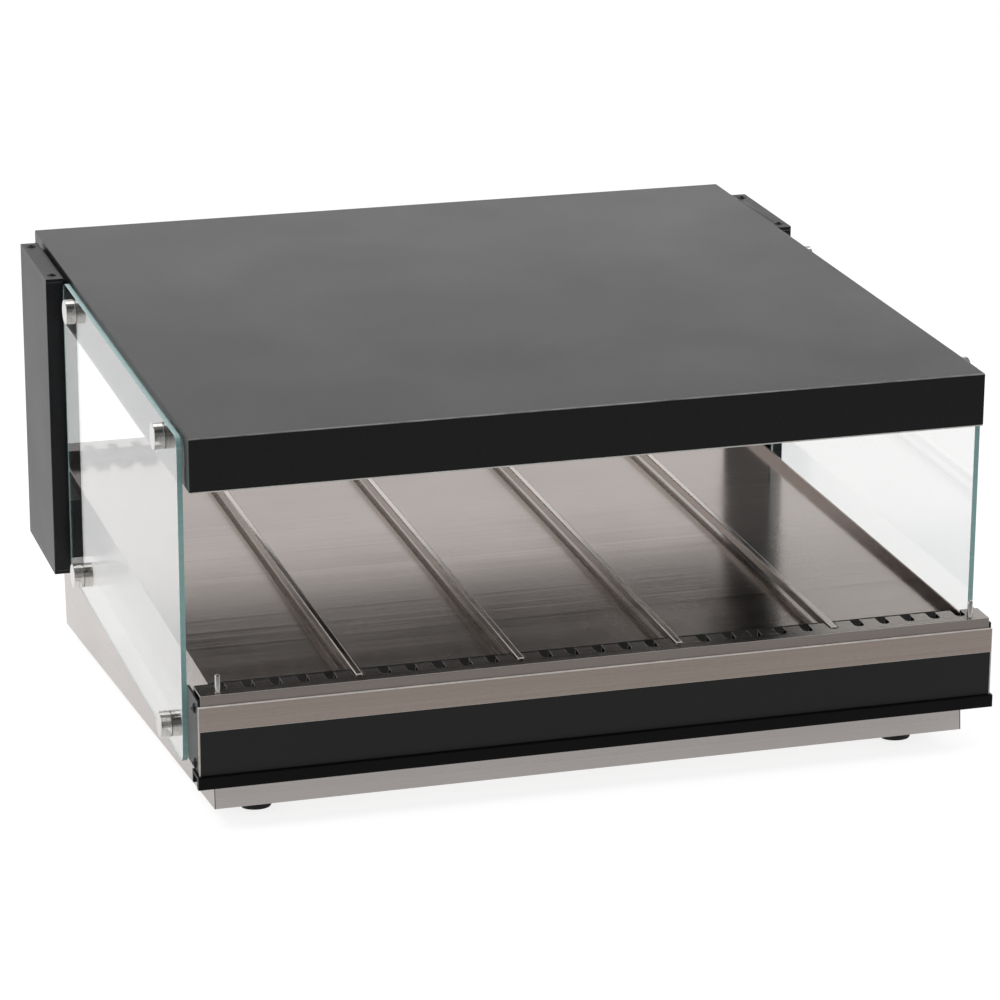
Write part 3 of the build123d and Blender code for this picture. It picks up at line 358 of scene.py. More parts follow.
# Nodes whose finish is another one than their slot's own
node_finish = {
    "shelf_pan": "shelf_stainless",
    "front_rail": "rail_stainless",
    "rear_rail": "rail_stainless",
    "front_trim": "trim_stainless",
    "canopy_liner": "trim_stainless",
    **{node: "divider_stainless" for node in divider_nodes},
}
slot_of = {part["node"]: part["material_slot"] for part in frame["record"]["subparts"]}
body_of = {}
for body, members in frame["record"]["behaviour"]["bodies"].items():
    for member in members:
        body_of[member] = body

for name, node in nodes.items():
    finish = node_finish.get(name, slot_of[name])
    node.data.materials.clear()
    node.data.materials.append(materials[finish])


# Piece tools

# Object in the scene for a mesh, a curve, a light or a camera
def scene_object(name, data):
    made = bpy.data.objects.new(name, data)
    bpy.context.scene.collection.objects.link(made)
    return made


# Mesh from a bmesh, which is used up
def mesh_from(name, shape):
    mesh = bpy.data.meshes.new(name)
    shape.to_mesh(mesh)
    shape.free()
    return mesh


# Piece from a mesh, riding on a body in a slot of the record; the mesh may hold its finishes already
def finished(name, mesh, finishes, body, replaced=()):
    for finish in finishes:
        mesh.materials.append(materials[finish])
    made = scene_object(name, mesh)
    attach(made, body)
    if replaced:
        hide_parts(*replaced)


def piece(name, shape, finishes, body, replaced=()):
    finished(name, mesh_from(name, shape), finishes, body, replaced)


# Block of a size added to a shape, about the middle that a matrix gives
def add_block(shape, middle, size):
    block = bmesh.ops.create_cube(shape, size=1.0)["verts"]
    bmesh.ops.transform(shape, matrix=middle @ Matrix.Diagonal((*size, 1)), verts=block)


weld_distance = 0.000002
flat_angle = radians(1.0)


# Welded copy of a CAD node's mesh with its flat faces joined
def welded(node):
    shape = bmesh.new()
    shape.from_mesh(nodes[node].data)
    bmesh.ops.remove_doubles(shape, verts=shape.verts, dist=weld_distance)
    bmesh.ops.dissolve_limit(
        shape,
        angle_limit=flat_angle,
        verts=shape.verts,
        edges=shape.edges,
        delimit={"NORMAL"},
    )
    return shape


edge_roundness = 0.6


# Small rounds along the edges of a shape that turn by more than a limit in degrees
def ease(shape, width, steps=2, sharp=40.0):
    edges = [
        edge
        for edge in shape.edges
        if len(edge.link_faces) == 2 and edge.calc_face_angle(0) > radians(sharp)
    ]
    return bmesh.ops.bevel(
        shape,
        geom=edges,
        offset=width,
        segments=steps,
        profile=edge_roundness,
        affect="EDGES",
        clamp_overlap=True,
        material=-1,
    )["faces"]


faced_limit = 0.9


# A CAD node's piece with eased edges, standing for the node. Its rounds may have a finish of their own, and
# so may the faces that look one way: faced gives such finishes, each with its direction.
def eased(node, width, edge_finish=None, faced=()):
    shape = welded(node)
    finish = node_finish.get(node, slot_of[node])
    finishes = [finish, edge_finish or finish]
    for way_finish, way in faced:
        for face in shape.faces:
            if face.normal.dot(way) > faced_limit:
                face.material_index = len(finishes)
        finishes.append(way_finish)
    for face in ease(shape, width):
        face.material_index = 1
    piece(f"{node}_eased", shape, finishes, body_of[node], (node,))


# Turned shape about its own Z axis, from a profile of radius and height that starts and ends on the axis or
# comes back to where it began
def turned(profile, segments=48):
    shape = bmesh.new()
    rings = []
    for radius, height in profile:
        if radius == 0:
            rings.append([shape.verts.new((0, 0, height))])
        else:
            angles = [2 * pi * k / segments for k in range(segments)]
            rings.append([
                shape.verts.new((radius * cos(angle), radius * sin(angle), height)) for angle in angles
            ])
    for low, high in zip(rings, rings[1:]):
        for k in range(segments):
            after = (k + 1) % segments
            corners = [
                low[k % len(low)],
                low[after % len(low)],
                high[after % len(high)],
                high[k % len(high)],
            ]
            face = shape.faces.new(list(dict.fromkeys(corners)))
            face.smooth = True
    bmesh.ops.recalc_face_normals(shape, faces=shape.faces)
    return shape


# Points with the direction in which what stands there faces
def seats(name, places):
    mesh = bpy.data.meshes.new(name)
    mesh.from_pydata([tuple(place) for place, _ in places], [], [])
    outward = mesh.attributes.new("outward", "FLOAT_VECTOR", "POINT")
    for k, (_, direction) in enumerate(places):
        outward.data[k].vector = direction
    return scene_object(name, mesh)


class Tree:
    """Geometry node tree with named inputs, built node by node."""

    def __init__(self, name, inputs):
        self.group = bpy.data.node_groups.new(name, "GeometryNodeTree")
        self.group.is_modifier = True
        interface = self.group.interface
        interface.new_socket("Geometry", in_out="INPUT", socket_type="NodeSocketGeometry")
        for label, kind in inputs:
            interface.new_socket(label, in_out="INPUT", socket_type=kind)
        interface.new_socket("Geometry", in_out="OUTPUT", socket_type="NodeSocketGeometry")
        self.source = self.group.nodes.new("NodeGroupInput").outputs
        self.result = self.group.nodes.new("NodeGroupOutput").inputs

    def add(self, kind, **settings):
        node = self.group.nodes.new(kind)
        for key, value in settings.items():
            setattr(node, key, value)
        return node

    def link(self, source, target):
        self.group.links.new(source, target)

    def calculate(self, operation, first, second):
        return calculated(self.group, operation, first, second)

    def vector(self, x=0.0, y=0.0, z=0.0):
        node = self.add("ShaderNodeCombineXYZ")
        for value, socket in zip((x, y, z), node.inputs):
            feed(self.group, value, socket)
        return node.outputs["Vector"]

    # Instances on the seats, each facing outward and turned by chance, made real with one finish
    def stand(self, instance):
        direction = self.add("GeometryNodeInputNamedAttribute", data_type="FLOAT_VECTOR")
        direction.inputs["Name"].default_value = "outward"
        align = self.add("FunctionNodeAlignRotationToVector", axis="Z")
        self.link(direction.outputs["Attribute"], align.inputs["Vector"])
        chance = self.add("FunctionNodeRandomValue", data_type="FLOAT")
        chance.inputs["Max"].default_value = 2 * pi
        self.link(self.source["Seed"], chance.inputs["Seed"])
        turn = self.add("FunctionNodeAxisAngleToRotation")
        turn.inputs["Axis"].default_value = (0, 0, 1)
        self.link(chance.outputs["Value"], turn.inputs["Angle"])
        both = self.add("FunctionNodeRotateRotation", rotation_space="LOCAL")
        self.link(align.outputs["Rotation"], both.inputs["Rotation"])
        self.link(turn.outputs["Rotation"], both.inputs["Rotate By"])
        spread = self.add("GeometryNodeInstanceOnPoints")
        self.link(self.source["Geometry"], spread.inputs["Points"])
        self.link(instance, spread.inputs["Instance"])
        self.link(both.outputs["Rotation"], spread.inputs["Rotation"])
        real = self.add("GeometryNodeRealizeInstances")
        self.link(spread.outputs["Instances"], real.inputs["Geometry"])
        finish = self.add("GeometryNodeSetMaterial")
        self.link(real.outputs["Geometry"], finish.inputs["Geometry"])
        self.link(self.source["Finish"], finish.inputs["Material"])
        self.link(finish.outputs["Geometry"], self.result["Geometry"])


# Screw with a domed head and a recess of crossed slots or of six sides
def screw_tree(name, six_sided):
    tree = Tree(name, [
        ("Head diameter", "NodeSocketFloat"),
        ("Head height", "NodeSocketFloat"),
        ("Recess width", "NodeSocketFloat"),
        ("Recess depth", "NodeSocketFloat"),
        ("Shank diameter", "NodeSocketFloat"),
        ("Shank length", "NodeSocketFloat"),
        ("Seed", "NodeSocketInt"),
        ("Finish", "NodeSocketMaterial"),
    ])
    source = tree.source
    ball = tree.add("GeometryNodeMeshUVSphere")
    ball.inputs["Segments"].default_value = 32
    ball.inputs["Rings"].default_value = 16
    place = tree.add("GeometryNodeInputPosition")
    parts = tree.add("ShaderNodeSeparateXYZ")
    tree.link(place.outputs["Position"], parts.inputs["Vector"])
    half = tree.calculate("MULTIPLY", source["Head diameter"], 0.5)
    above = tree.calculate("MAXIMUM", parts.outputs["Z"], 0.0)
    dome = tree.add("GeometryNodeSetPosition")
    tree.link(ball.outputs["Mesh"], dome.inputs["Geometry"])
    tree.link(
        tree.vector(
            tree.calculate("MULTIPLY", parts.outputs["X"], half),
            tree.calculate("MULTIPLY", parts.outputs["Y"], half),
            tree.calculate("MULTIPLY", above, source["Head height"]),
        ),
        dome.inputs["Position"],
    )
    shank = tree.add("GeometryNodeMeshCylinder")
    shank.inputs["Vertices"].default_value = 20
    tree.link(tree.calculate("MULTIPLY", source["Shank diameter"], 0.5), shank.inputs["Radius"])
    tree.link(source["Shank length"], shank.inputs["Depth"])
    down = tree.add("GeometryNodeTransform")
    tree.link(shank.outputs["Mesh"], down.inputs["Geometry"])
    overlap = tree.calculate("MULTIPLY", source["Head height"], 0.3)
    half_length = tree.calculate("MULTIPLY", source["Shank length"], 0.5)
    shank_middle = tree.calculate("SUBTRACT", overlap, half_length)
    tree.link(tree.vector(z=shank_middle), down.inputs["Translation"])
    body = tree.add("GeometryNodeMeshBoolean", operation="UNION")
    tree.link(dome.outputs["Geometry"], body.inputs["Mesh 2"])
    tree.link(down.outputs["Geometry"], body.inputs["Mesh 2"])
    cut = tree.add("GeometryNodeMeshBoolean", operation="DIFFERENCE")
    tree.link(body.outputs["Mesh"], cut.inputs["Mesh 1"])
    twice = tree.calculate("MULTIPLY", source["Recess depth"], 2.0)
    if six_sided:
        socket = tree.add("GeometryNodeMeshCylinder")
        socket.inputs["Vertices"].default_value = 6
        tree.link(tree.calculate("MULTIPLY", source["Recess width"], 0.5), socket.inputs["Radius"])
        tree.link(twice, socket.inputs["Depth"])
        tools = [socket.outputs["Mesh"]]
    else:
        narrow = tree.calculate("MULTIPLY", source["Recess width"], 0.22)
        tools = []
        for size in ((source["Recess width"], narrow), (narrow, source["Recess width"])):
            bar = tree.add("GeometryNodeMeshCube")
            tree.link(tree.vector(*size, twice), bar.inputs["Size"])
            tools.append(bar.outputs["Mesh"])
    for tool in tools:
        lift = tree.add("GeometryNodeTransform")
        tree.link(tool, lift.inputs["Geometry"])
        tree.link(tree.vector(z=source["Head height"]), lift.inputs["Translation"])
        tree.link(lift.outputs["Geometry"], cut.inputs["Mesh 2"])
    smooth = tree.add("GeometryNodeSetShadeSmooth")
    tree.link(cut.outputs["Mesh"], smooth.inputs["Geometry"])
    tree.stand(smooth.outputs["Geometry"])
    return tree.group


# Turned fitting repeated on seats
def fitting_tree():
    tree = Tree("fittings on seats", [
        ("Fitting", "NodeSocketObject"),
        ("Seed", "NodeSocketInt"),
        ("Finish", "NodeSocketMaterial"),
    ])
    taken = tree.add("GeometryNodeObjectInfo")
    tree.link(tree.source["Fitting"], taken.inputs["Object"])
    tree.stand(taken.outputs["Geometry"])
    return tree.group


smooth_angle = radians(32)


# Mesh that a tree makes on seats
def grown(name, places, group, values):
    holder = seats(name, places)
    modifier = holder.modifiers.new("rows", "NODES")
    modifier.node_group = group
    sockets = {
        item.name: item.identifier
        for item in group.interface.items_tree
        if item.item_type == "SOCKET" and item.in_out == "INPUT"
    }
    for label, value in values.items():
        modifier[sockets[label]] = value
    bpy.context.view_layer.update()
    graph = bpy.context.evaluated_depsgraph_get()
    mesh = bpy.data.meshes.new_from_object(holder.evaluated_get(graph))
    mesh.name = name
    mesh.set_sharp_from_angle(angle=smooth_angle)
    bpy.data.objects.remove(holder)
    return mesh


cross_screws = screw_tree("cross recessed screws", six_sided=False)
socket_screws = screw_tree("six sided socket screws", six_sided=True)
fittings = fitting_tree()
screw_seed = 7
fitting_seed = 3


def screw_size(head, height, recess, depth, shank, length):
    return {
        "Head diameter": head,
        "Head height": height,
        "Recess width": recess,
        "Recess depth": depth,
        "Shank diameter": shank,
        "Shank length": length,
    }


# Screws of the case, standing for the node that holds them
def screws(name, places, group, size, finish, replaced):
    mesh = grown(name, places, group, {**size, "Seed": screw_seed, "Finish": materials[finish]})
    finished(name, mesh, [], "case", (replaced,))


# Rows of one turned fitting of the case
def fitted(name, places, profile, finish, replaced=(), segments=48):
    model = scene_object(f"{name}_model", mesh_from(f"{name}_model", turned(profile, segments)))
    values = {"Fitting": model, "Seed": fitting_seed, "Finish": materials[finish]}
    mesh = grown(name, places, fittings, values)
    bpy.data.objects.remove(model)
    finished(name, mesh, [], "case", replaced)


def on_slope(x, u, n):
    return slope @ Vector((x, u, n))


def on_rear(a, b, out=0.0):
    return rear @ Vector((a, b, out))


# Sheet metal and mouldings with eased edges

sheet_ease = 0.0004
fine_ease = 0.0003
bar_ease = 0.0007
trim_ease = 0.0008
slope_front = -(slope.to_3x3() @ Vector((0, 1, 0)))
for node in ("rear_rail", "base_shell", "rear_panel"):
    eased(node, sheet_ease)
# The rounds of the front rail, the trim and the dividers, and the trim's top face, are pale: painted
# highlights
eased("front_rail", sheet_ease, "painted_highlight_edge")
eased("front_trim", trim_ease, "painted_highlight_edge", faced=[("painted_highlight_edge", slope_up)])
for node in divider_nodes:
    eased(node, bar_ease, "painted_highlight_edge")
# The liner's underside is dark steel: a heat tint, and painted shade under the canopy
liner_faces = [("heated_steel", -slope_up), ("liner_hem_painted_highlight", slope_front)]
# The liner's front hem is near white: a painted highlight under the fascia
eased("canopy_liner", fine_ease, "liner_hem_painted_highlight", faced=liner_faces)
# The pan's front wall, seen through the slots, is dark steel: painted shade
eased("shelf_pan", sheet_ease, faced=[("heated_steel", slope_front), ("stainless", -slope_front)])

# Canopy: the fold along its top front edge is rubbed, where hands reach in under it, and its pale line is
# partly a painted highlight

canopy_ease = 0.0006
fold_limit = 0.12
canopy = welded("canopy_shell")
ease(canopy, canopy_ease)
for face in canopy.faces:
    forward = face.normal.dot(slope_front)
    upward = face.normal.dot(slope_up)
    face.material_index = 1 if min(forward, upward) > fold_limit else 0
piece("canopy_coated", canopy, ["painted_top", "rubbed_paint_and_highlight"], "case", ("canopy_shell",))

# The rounds of the columns and their caps, the rims of the screw recesses too, get the pale rubbed line:
# wear, and partly a painted highlight
for node in ("column_left", "column_right", "column_top_caps", "column_bottom_caps"):
    eased(node, fine_ease, "rubbed_paint_and_highlight")
for node in ("label_strip", "end_plate_left", "end_plate_right", "knob_canopy", "knob_shelf"):
    eased(node, fine_ease)

# Glass sides: the CAD sheet with a polished arris, its rim in green, and darker where it faces up: painted
# shade

glass_arris = 0.0005
arris_angle = 60.0
side_limit = 0.98
top_limit = 0.3
glass_finishes = ["glass", "glass_rim", "glass_rim_painted_shade"]
for name in sides:
    sheet = welded(f"glass_{name}")
    ease(sheet, glass_arris, sharp=arris_angle)
    for face in sheet.faces:
        if abs(face.normal.x) > side_limit:
            face.material_index = 0
        elif face.normal.dot(slope_up) > top_limit:
            face.material_index = 2
        else:
            face.material_index = 1
        face.smooth = False
    piece(f"glass_sheet_{name}", sheet, glass_finishes, "case", (f"glass_{name}",))

# Standoff caps: turned, with an eased rim, a shallow groove at the glass and a threaded stud

glass_outer = 0.310
standoff_radius = 0.010
standoff_height = 0.008
standoff_segments = 64
standoff_stations = (0.066, 0.410)
standoff_levels = (-0.0165, -0.2405)
stud_radius = 0.003
stud_length = 0.010
seat_relief = 0.0006
line_relief = 0.0003
cap_profile = [
    (0, -stud_length),
    (stud_radius, -stud_length),
    (stud_radius, 0.0),
    (standoff_radius - seat_relief, 0.0),
    (standoff_radius - seat_relief, 0.0007),
    (standoff_radius, 0.0008),
    (standoff_radius, 0.0036),
    (standoff_radius - line_relief, 0.0037),
    (standoff_radius - line_relief, 0.0038),
    (standoff_radius, 0.0039),
    (standoff_radius, standoff_height - 0.0005),
    (standoff_radius - 0.0002, standoff_height - 0.0002),
    (standoff_radius - 0.0006, standoff_height),
    (standoff_radius - 0.0014, standoff_height),
    (standoff_radius - 0.0016, standoff_height - 0.0002),
    (standoff_radius - 0.0018, standoff_height),
    (0, standoff_height),
]
for name, side in sides.items():
    places = [
        (on_slope(side * glass_outer, u, n), (side, 0, 0)) for u in standoff_stations for n in standoff_levels
    ]
    replaced = (f"standoff_caps_{name}",)
    fitted(f"standoffs_{name}", places, cap_profile, "polished_stainless", replaced, standoff_segments)

# Screws of the column caps, in their recesses

column_centre = 0.31495
cap_screw_stations = (0.479, 0.573)
top_cap_level = -0.006
bottom_cap_level = -0.256
cap_screw_places = []
for side in sides.values():
    for u in cap_screw_stations:
        cap_screw_places.append((on_slope(side * column_centre, u, top_cap_level), slope_up))
        cap_screw_places.append((on_slope(side * column_centre, u, bottom_cap_level), -slope_up))
cap_screw = screw_size(head=0.007, height=0.0034, recess=0.0036, depth=0.0014, shank=0.0035, length=0.014)
screws("column_screws", cap_screw_places, socket_screws, cap_screw, "black_screw", "column_cap_screws")

# Domed screws of the end plates

end_face = 0.3075
end_station = -0.013
end_levels = (-0.199, -0.2415)
end_places = [
    (on_slope(side * end_face, end_station, n), (side, 0, 0)) for side in sides.values() for n in end_levels
]
end_screw = screw_size(head=0.008, height=0.002, recess=0.003, depth=0.001, shank=0.004, length=0.008)
screws("end_screws", end_places, socket_screws, end_screw, "black_screw", "end_plate_screws")

# Screws of the rear panel, of the base and of the feet

panel_screw_radius = 0.0035
panel_screw = screw_size(head=0.007, height=0.0019, recess=0.0036, depth=0.0012, shank=0.0035, length=0.006)
panel_low, panel_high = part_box("rear_panel_screws")
panel_places = [
    (Vector((x, rear_face_y, z)), (0, 1, 0))
    for x in (panel_low.x + panel_screw_radius, panel_high.x - panel_screw_radius)
    for z in (panel_low.z + panel_screw_radius, panel_high.z - panel_screw_radius)
]
screws("panel_screws", panel_places, cross_screws, panel_screw, "zinc_steel", "rear_panel_screws")

base_low, base_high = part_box("base_screws")
foot_level = 0.0123
base_columns = 4
base_start = base_low.x + panel_screw_radius
base_span = base_high.x - base_low.x - 2 * panel_screw_radius
base_places = [
    (Vector((base_start + base_span * k / (base_columns - 1), y, foot_level)), (0, 0, -1))
    for k in range(base_columns)
    for y in (base_low.y + panel_screw_radius, base_high.y - panel_screw_radius)
]
screws("bottom_screws", base_places, cross_screws, panel_screw, "zinc_steel", "base_screws")

feet_low, feet_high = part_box("feet")
foot_radius = 0.015
foot_places = [
    Vector((x, y, 0))
    for x in (feet_low.x + foot_radius, feet_high.x - foot_radius)
    for y in (feet_low.y + foot_radius, feet_high.y - foot_radius)
]
foot_well_radius = 0.0050
foot_well_top = 0.0045
foot_screw = screw_size(head=0.009, height=0.0034, recess=0.0046, depth=0.0016, shank=0.005, length=0.0148)
foot_screw_places = [(place + Vector((0, 0, foot_well_top)), (0, 0, -1)) for place in foot_places]
screws("foot_bolts", foot_screw_places, cross_screws, foot_screw, "zinc_steel", "foot_screws")

# Rubber feet: tapered, with a rounded sole, a moulded ring and the well of the screw

foot_top = 0.0138
foot_bore_radius = 0.0027
foot_waist_radius = 0.0125
foot_tip_radius = 0.0112
foot_ring_height = 0.0006
foot_profile = [
    (foot_bore_radius, foot_top),
    (foot_radius, foot_top),
    (foot_radius, 0.0124),
    (foot_radius - 0.0006, 0.0119),
    (foot_waist_radius, 0.0112),
    (foot_tip_radius + 0.0004, 0.0014),
    (foot_tip_radius - 0.0004, 0.0003),
    (foot_tip_radius - 0.0014, 0.0),
    (0.0070, 0.0),
    (0.0062, foot_ring_height),
    (foot_well_radius, foot_ring_height),
    (foot_well_radius, foot_well_top),
    (foot_bore_radius, foot_well_top),
    (foot_bore_radius, foot_top),
]
fitted("rubber_feet", [(place, (0, 0, 1)) for place in foot_places], foot_profile, "rubber", ("feet",))

# Stop pins with a rounded tip

pin_radius = 0.002
pin_root = 0.004
pin_height = 0.014
pin_segments = 32
pin_offset = 0.2915
pin_station = -0.0205
pin_level = -0.186
pin_profile = [
    (0, -pin_root),
    (pin_radius, -pin_root),
    (pin_radius, pin_height - 0.0010),
    (pin_radius - 0.0003, pin_height - 0.0004),
    (pin_radius - 0.0009, pin_height - 0.0001),
    (0, pin_height),
]
pin_places = [(on_slope(side * pin_offset, pin_station, pin_level), slope_up) for side in sides.values()]
fitted("rail_pins", pin_places, pin_profile, "polished_stainless", ("stop_pins",), pin_segments)

# Black strip on the shelf plate under the front comb, seen through the slots: painted shade, which keeps the
# slots dark

plate_level = -0.196
slot_shade_thickness = 0.001
slot_shade_start = -0.0005
slot_shade_end = 0.0235
slot_shade_half = 0.2885
slot_shade_ease = 0.0003
slot_shade_place = (0, (slot_shade_start + slot_shade_end) / 2, plate_level + slot_shade_thickness / 2)
slot_shade = bmesh.new()
add_block(
    slot_shade,
    slope @ Matrix.Translation(slot_shade_place),
    (2 * slot_shade_half, slot_shade_end - slot_shade_start, slot_shade_thickness),
)
ease(slot_shade, slot_shade_ease)
piece("comb_seal", slot_shade, ["painted_slot_shade"], "case")

# Dark strips of black rubber in the front corner joints of the base: painted shade in the joints

shelf_half = 0.2928
bead_width = 0.0005
bead_proud = 0.00015
joint_top = 0.0415
base_front = -0.29307
beads = bmesh.new()
for side in sides.values():
    middle = Vector((side * (shelf_half - bead_width), base_front, (foot_level + joint_top) / 2))
    add_block(beads, Matrix.Translation(middle), (bead_width, 2 * bead_proud, joint_top - foot_level))
ease(beads, bead_proud)
piece("corner_beads", beads, ["rubber"], "case")

# Rear controls

control_height = 0.058
knob_places = {"canopy": -0.040, "shelf": 0.040}
lamp_offset = 0.034
switch_place = 0.120
inlet_place = 0.200
print_thickness = 0.00015


# Flat lettering, laid on the rear panel
def printed(text, height, a, b):
    curve = bpy.data.curves.new(f"print_{text}", "FONT")
    curve.body = text
    curve.size = height
    curve.align_x = "CENTER"
    curve.align_y = "CENTER"
    curve.extrude = print_thickness / 2
    holder = scene_object(f"print_{text}", curve)
    bpy.context.view_layer.update()
    mesh = bpy.data.meshes.new_from_object(holder.evaluated_get(bpy.context.evaluated_depsgraph_get()))
    bpy.data.objects.remove(holder)
    mesh.transform(rear @ Matrix.Translation((a, b, print_thickness / 2)))
    return mesh


# Thin bar on the rear panel's frame, turned about its middle
def printed_bar(shape, a, b, out, width, length, turn=0.0):
    place = rear @ Matrix.Translation((a, b, out + print_thickness / 2)) @ Matrix.Rotation(turn, 4, "Z")
    add_block(shape, place, (width, length, print_thickness))


# Dials from 0 to 5 with half steps between, and a pointer line on each knob
dial_steps = 10
dial_start = radians(90)
dial_sweep = radians(270)
tick_ring = 0.0212
tick_width = 0.0006
long_tick = 0.0034
short_tick = 0.0020
number_ring = 0.0262
number_height = 0.0052
pointer_rise = 0.0081
pointer_out = 0.0155
pointer_width = 0.0014
pointer_length = 0.0154
for name, place in knob_places.items():
    dial = bmesh.new()
    angles = [dial_start - dial_sweep * step / dial_steps for step in range(dial_steps + 1)]
    for step, angle in enumerate(angles):
        a = place + tick_ring * cos(angle)
        b = control_height + tick_ring * sin(angle)
        tick = long_tick if step % 2 == 0 else short_tick
        printed_bar(dial, a, b, 0.0, tick_width, tick, angle - pi / 2)
    for number, angle in enumerate(angles[::2]):
        a = place + number_ring * cos(angle)
        b = control_height + number_ring * sin(angle)
        dial.from_mesh(printed(str(number), number_height, a, b))
    piece(f"dial_{name}", dial, ["dark_print"], "case")

    pointer = bmesh.new()
    printed_bar(
        pointer, place, control_height + pointer_rise, pointer_out, pointer_width, pointer_length
    )
    piece(f"pointer_{name}", pointer, ["white_print"], f"knob_{name}_body")

# Chromed bezels of the indicator lamps

bezel_bore = 0.0052
bezel_radius = 0.0068
bezel_profile = [
    (bezel_bore, 0.0),
    (bezel_radius, 0.0),
    (bezel_radius, 0.0006),
    (bezel_radius - 0.0004, 0.0012),
    (bezel_bore + 0.0005, 0.0014),
    (bezel_bore, 0.0011),
    (bezel_bore, 0.0),
]
lamp_places = [
    (on_rear(place + lamp_offset, control_height), (0, 1, 0)) for place in knob_places.values()
]
fitted("lamp_bezels", lamp_places, bezel_profile, "polished_stainless")

# Blades of the inlet, rounded at their tips

blade_size = (0.0022, 0.0042, 0.0122)
blade_floor = -0.013
blade_spacing = 0.007
blade_offset = 0.002
blade_ease = 0.0006
blade_ease_steps = 3
blades = bmesh.new()
for a, b in ((-blade_spacing, -blade_offset), (blade_spacing, -blade_offset), (0.0, blade_offset)):
    middle = (inlet_place + a, control_height + b, blade_floor + blade_size[2] / 2)
    add_block(blades, rear @ Matrix.Translation(middle), blade_size)
ease(blades, blade_ease, blade_ease_steps)
piece("inlet_blades", blades, ["nickel"], "case")

# Marks of the mains rocker: the ring on its upper slope, which is pressed at rest, and the stroke on its
# lower one

rocker_tilt = radians(7)
rocker_peak = 0.0032
rocker_valley = 0.0014
rocker_half = 0.011
pivot_depth = 0.0005
mark_lift = 0.0001
mark_place = 0.006
stroke_width = 0.0007
stroke_length = 0.0042
ring_inner = 0.0015
ring_outer = 0.0021
ring_segments = 32
rocker_frame = (
    rear
    @ Matrix.Translation((switch_place, control_height, -pivot_depth))
    @ Matrix.Rotation(-rocker_tilt, 4, "X")
)
rocker_slope = (rocker_peak - rocker_valley) / rocker_half


# Place on a slope of the rocker, above or below its valley
def rocker_place(along):
    rise = rocker_valley + abs(along) * rocker_slope
    lean = rocker_slope if along > 0 else -rocker_slope
    return (
        rocker_frame
        @ Matrix.Translation((0, along, rise + mark_lift))
        @ Matrix.Rotation(lean, 4, "X")
    )


marks = bmesh.new()
add_block(marks, rocker_place(-mark_place), (stroke_width, stroke_length, print_thickness))
ring_profile = [
    (ring_inner, 0),
    (ring_outer, 0),
    (ring_outer, print_thickness),
    (ring_inner, print_thickness),
    (ring_inner, 0),
]
ring = mesh_from("ring_mark", turned(ring_profile, ring_segments))
ring.transform(rocker_place(mark_place))
marks.from_mesh(ring)
piece("rocker_marks", marks, ["white_print"], "rocker")

# Studio: a pale floor, soft lamps, and a white surround that the camera and the glass see

# Smooth change between two levels while a value goes from start to end
def faded(tree, value, start, end, low, high):
    fade = tree.nodes.new("ShaderNodeMapRange")
    fade.interpolation_type = "SMOOTHSTEP"
    fade.inputs["From Min"].default_value = start
    fade.inputs["From Max"].default_value = end
    fade.inputs["To Min"].default_value = low
    fade.inputs["To Max"].default_value = high
    tree.links.new(value, fade.inputs["Value"])
    return fade.outputs["Result"]


def axes_of(tree, coordinates):
    place = tree.nodes.new("ShaderNodeTexCoord")
    axes = tree.nodes.new("ShaderNodeSeparateXYZ")
    tree.links.new(place.outputs[coordinates], axes.inputs["Vector"])
    return axes.outputs


# 1 for what the camera sees straight or through glass, otherwise 0
def in_view(tree, path):
    return calculated(tree, "MAXIMUM", path.outputs["Is Camera Ray"], path.outputs["Is Transmission Ray"])


def white_light(tree, strength):
    light = tree.nodes.new("ShaderNodeBackground")
    light.inputs["Color"].default_value = (1, 1, 1, 1)
    feed(tree, strength, light.inputs["Strength"])
    return light.outputs["Background"]


# Floor: white in view, and dimmer towards the front for what the metal mirrors
floor_half = 20.0
floor_tone = 0.31
floor_glow = 0.81
floor_mirrored = 0.85
floor_shape = bmesh.new()
bmesh.ops.create_grid(floor_shape, x_segments=2, y_segments=2, size=floor_half)
floor = scene_object("floor", mesh_from("floor", floor_shape))
floor_paint, floor_shader = new_material("white sweep")
floor_shader.inputs["Base Color"].default_value = (floor_tone, floor_tone, floor_tone, 1)
floor_shader.inputs["Roughness"].default_value = 0.9
floor_shader.inputs["Specular IOR Level"].default_value = 0.0
floor_shader.inputs["Emission Color"].default_value = (1, 1, 1, 1)
floor_tree = floor_paint.node_tree
floor_path = floor_tree.nodes.new("ShaderNodeLightPath")
floor_depth = axes_of(floor_tree, "Object")["Y"]
floor_fade = faded(floor_tree, floor_depth, start=-1.0, end=0.2, low=0.0, high=floor_mirrored)
floor_gloss = calculated(floor_tree, "MULTIPLY", floor_path.outputs["Is Glossy Ray"], floor_fade)
floor_shown = calculated(floor_tree, "MAXIMUM", in_view(floor_tree, floor_path), floor_gloss)
floor_light = calculated(floor_tree, "MULTIPLY", floor_shown, floor_glow)
linked(floor_paint, floor_light, floor_shader, "Emission Strength")
floor.data.materials.append(floor_paint)

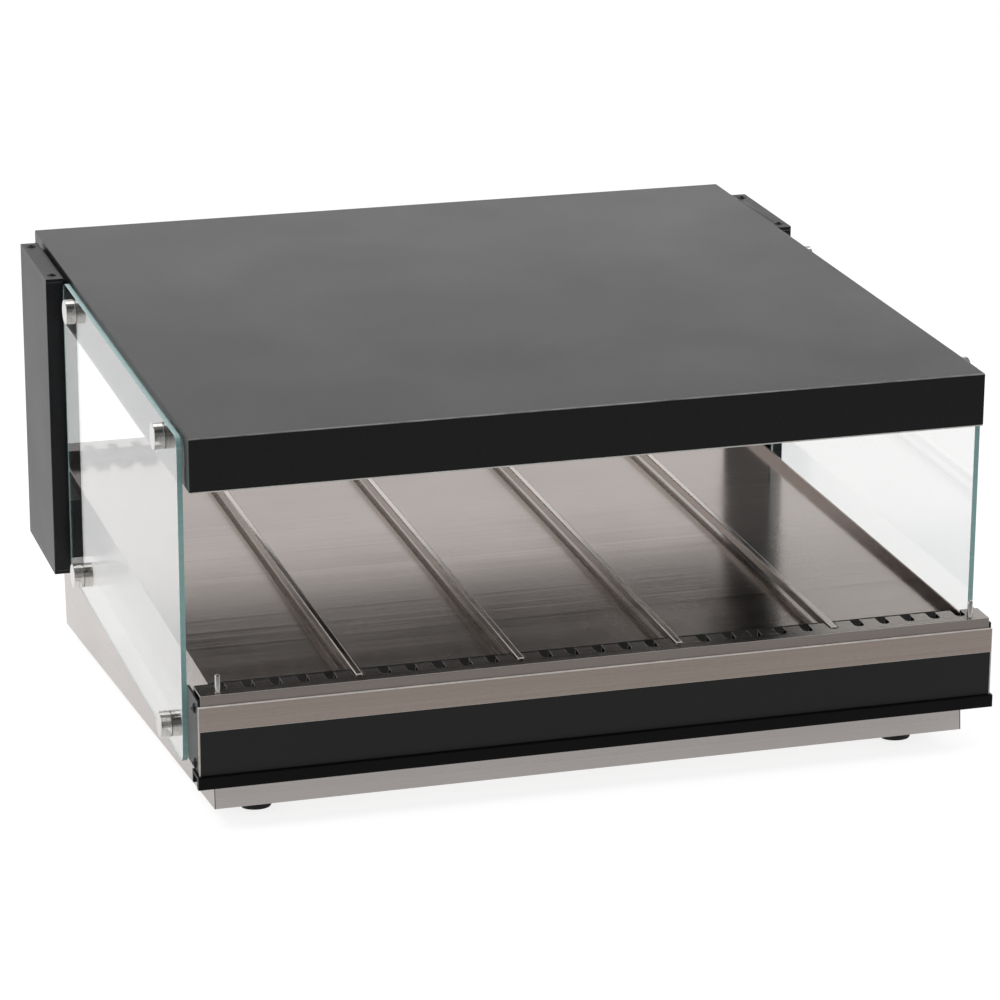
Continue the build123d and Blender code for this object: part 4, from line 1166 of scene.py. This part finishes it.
# Surround: white in view, darker in front and overhead for what the metal mirrors, soft for the rest
soft_level = 0.62
world = bpy.data.worlds.new("studio")
bpy.context.scene.world = world
world.use_nodes = True
sky = world.node_tree
sky.nodes.clear()
sky_output = sky.nodes.new("ShaderNodeOutputWorld")
sky_path = sky.nodes.new("ShaderNodeLightPath")
sky_axes = axes_of(sky, "Generated")
front_fade = faded(sky, sky_axes["Y"], start=-0.75, end=0.05, low=0.16, high=1.0)
over_fade = faded(sky, sky_axes["Z"], start=0.45, end=0.72, low=1.0, high=0.25)
mirrored_light = white_light(sky, calculated(sky, "MULTIPLY", front_fade, over_fade))
soft_light = white_light(sky, soft_level)
unseen_light = mixed(sky, sky_path.outputs["Is Glossy Ray"], soft_light, mirrored_light)
sky_light = mixed(sky, in_view(sky, sky_path), unseen_light, white_light(sky, 1.0))
sky.links.new(sky_light, sky_output.inputs["Surface"])

studio_aim = Vector((0, 0, 0.2))


# Rectangular lamp turned to the case, with its power in watts
def softbox(name, place, width, height, power):
    lamp = bpy.data.lights.new(name, "AREA")
    lamp.shape = "RECTANGLE"
    lamp.size = width
    lamp.size_y = height
    lamp.energy = power
    turn = (studio_aim - Vector(place)).to_track_quat("-Z", "Y").to_matrix().to_4x4()
    scene_object(name, lamp).matrix_world = Matrix.Translation(place) @ turn


softbox("key", (-1.8, -0.9, 2.5), width=1.8, height=1.4, power=26)
softbox("fill", (2.2, -1.0, 1.8), width=1.6, height=1.6, power=11)
softbox("top", (0.1, 0.8, 2.6), width=2.2, height=1.6, power=16)

# Camera, fitted to the picture's frame of 1000 by 1000

camera_place = (-0.873487, -3.103184, 0.865923)
camera_yaw = radians(15.95638)
camera_pitch = radians(12.38403)
camera_roll = radians(-1.55937)
camera_lens = 146.892
sensor_width = 36.0
view_reach = 100.0
camera_data = bpy.data.cameras.new("camera")
camera_data.lens = camera_lens
camera_data.sensor_width = sensor_width
camera_data.clip_end = view_reach
camera = scene_object("camera", camera_data)
camera.matrix_world = (
    Matrix.Translation(camera_place)
    @ Matrix.Rotation(-camera_yaw, 4, "Z")
    @ Matrix.Rotation(radians(90) - camera_pitch, 4, "X")
    @ Matrix.Rotation(camera_roll, 4, "Z")
)
bpy.context.scene.camera = camera
bpy.context.scene.view_settings.view_transform = "Standard"
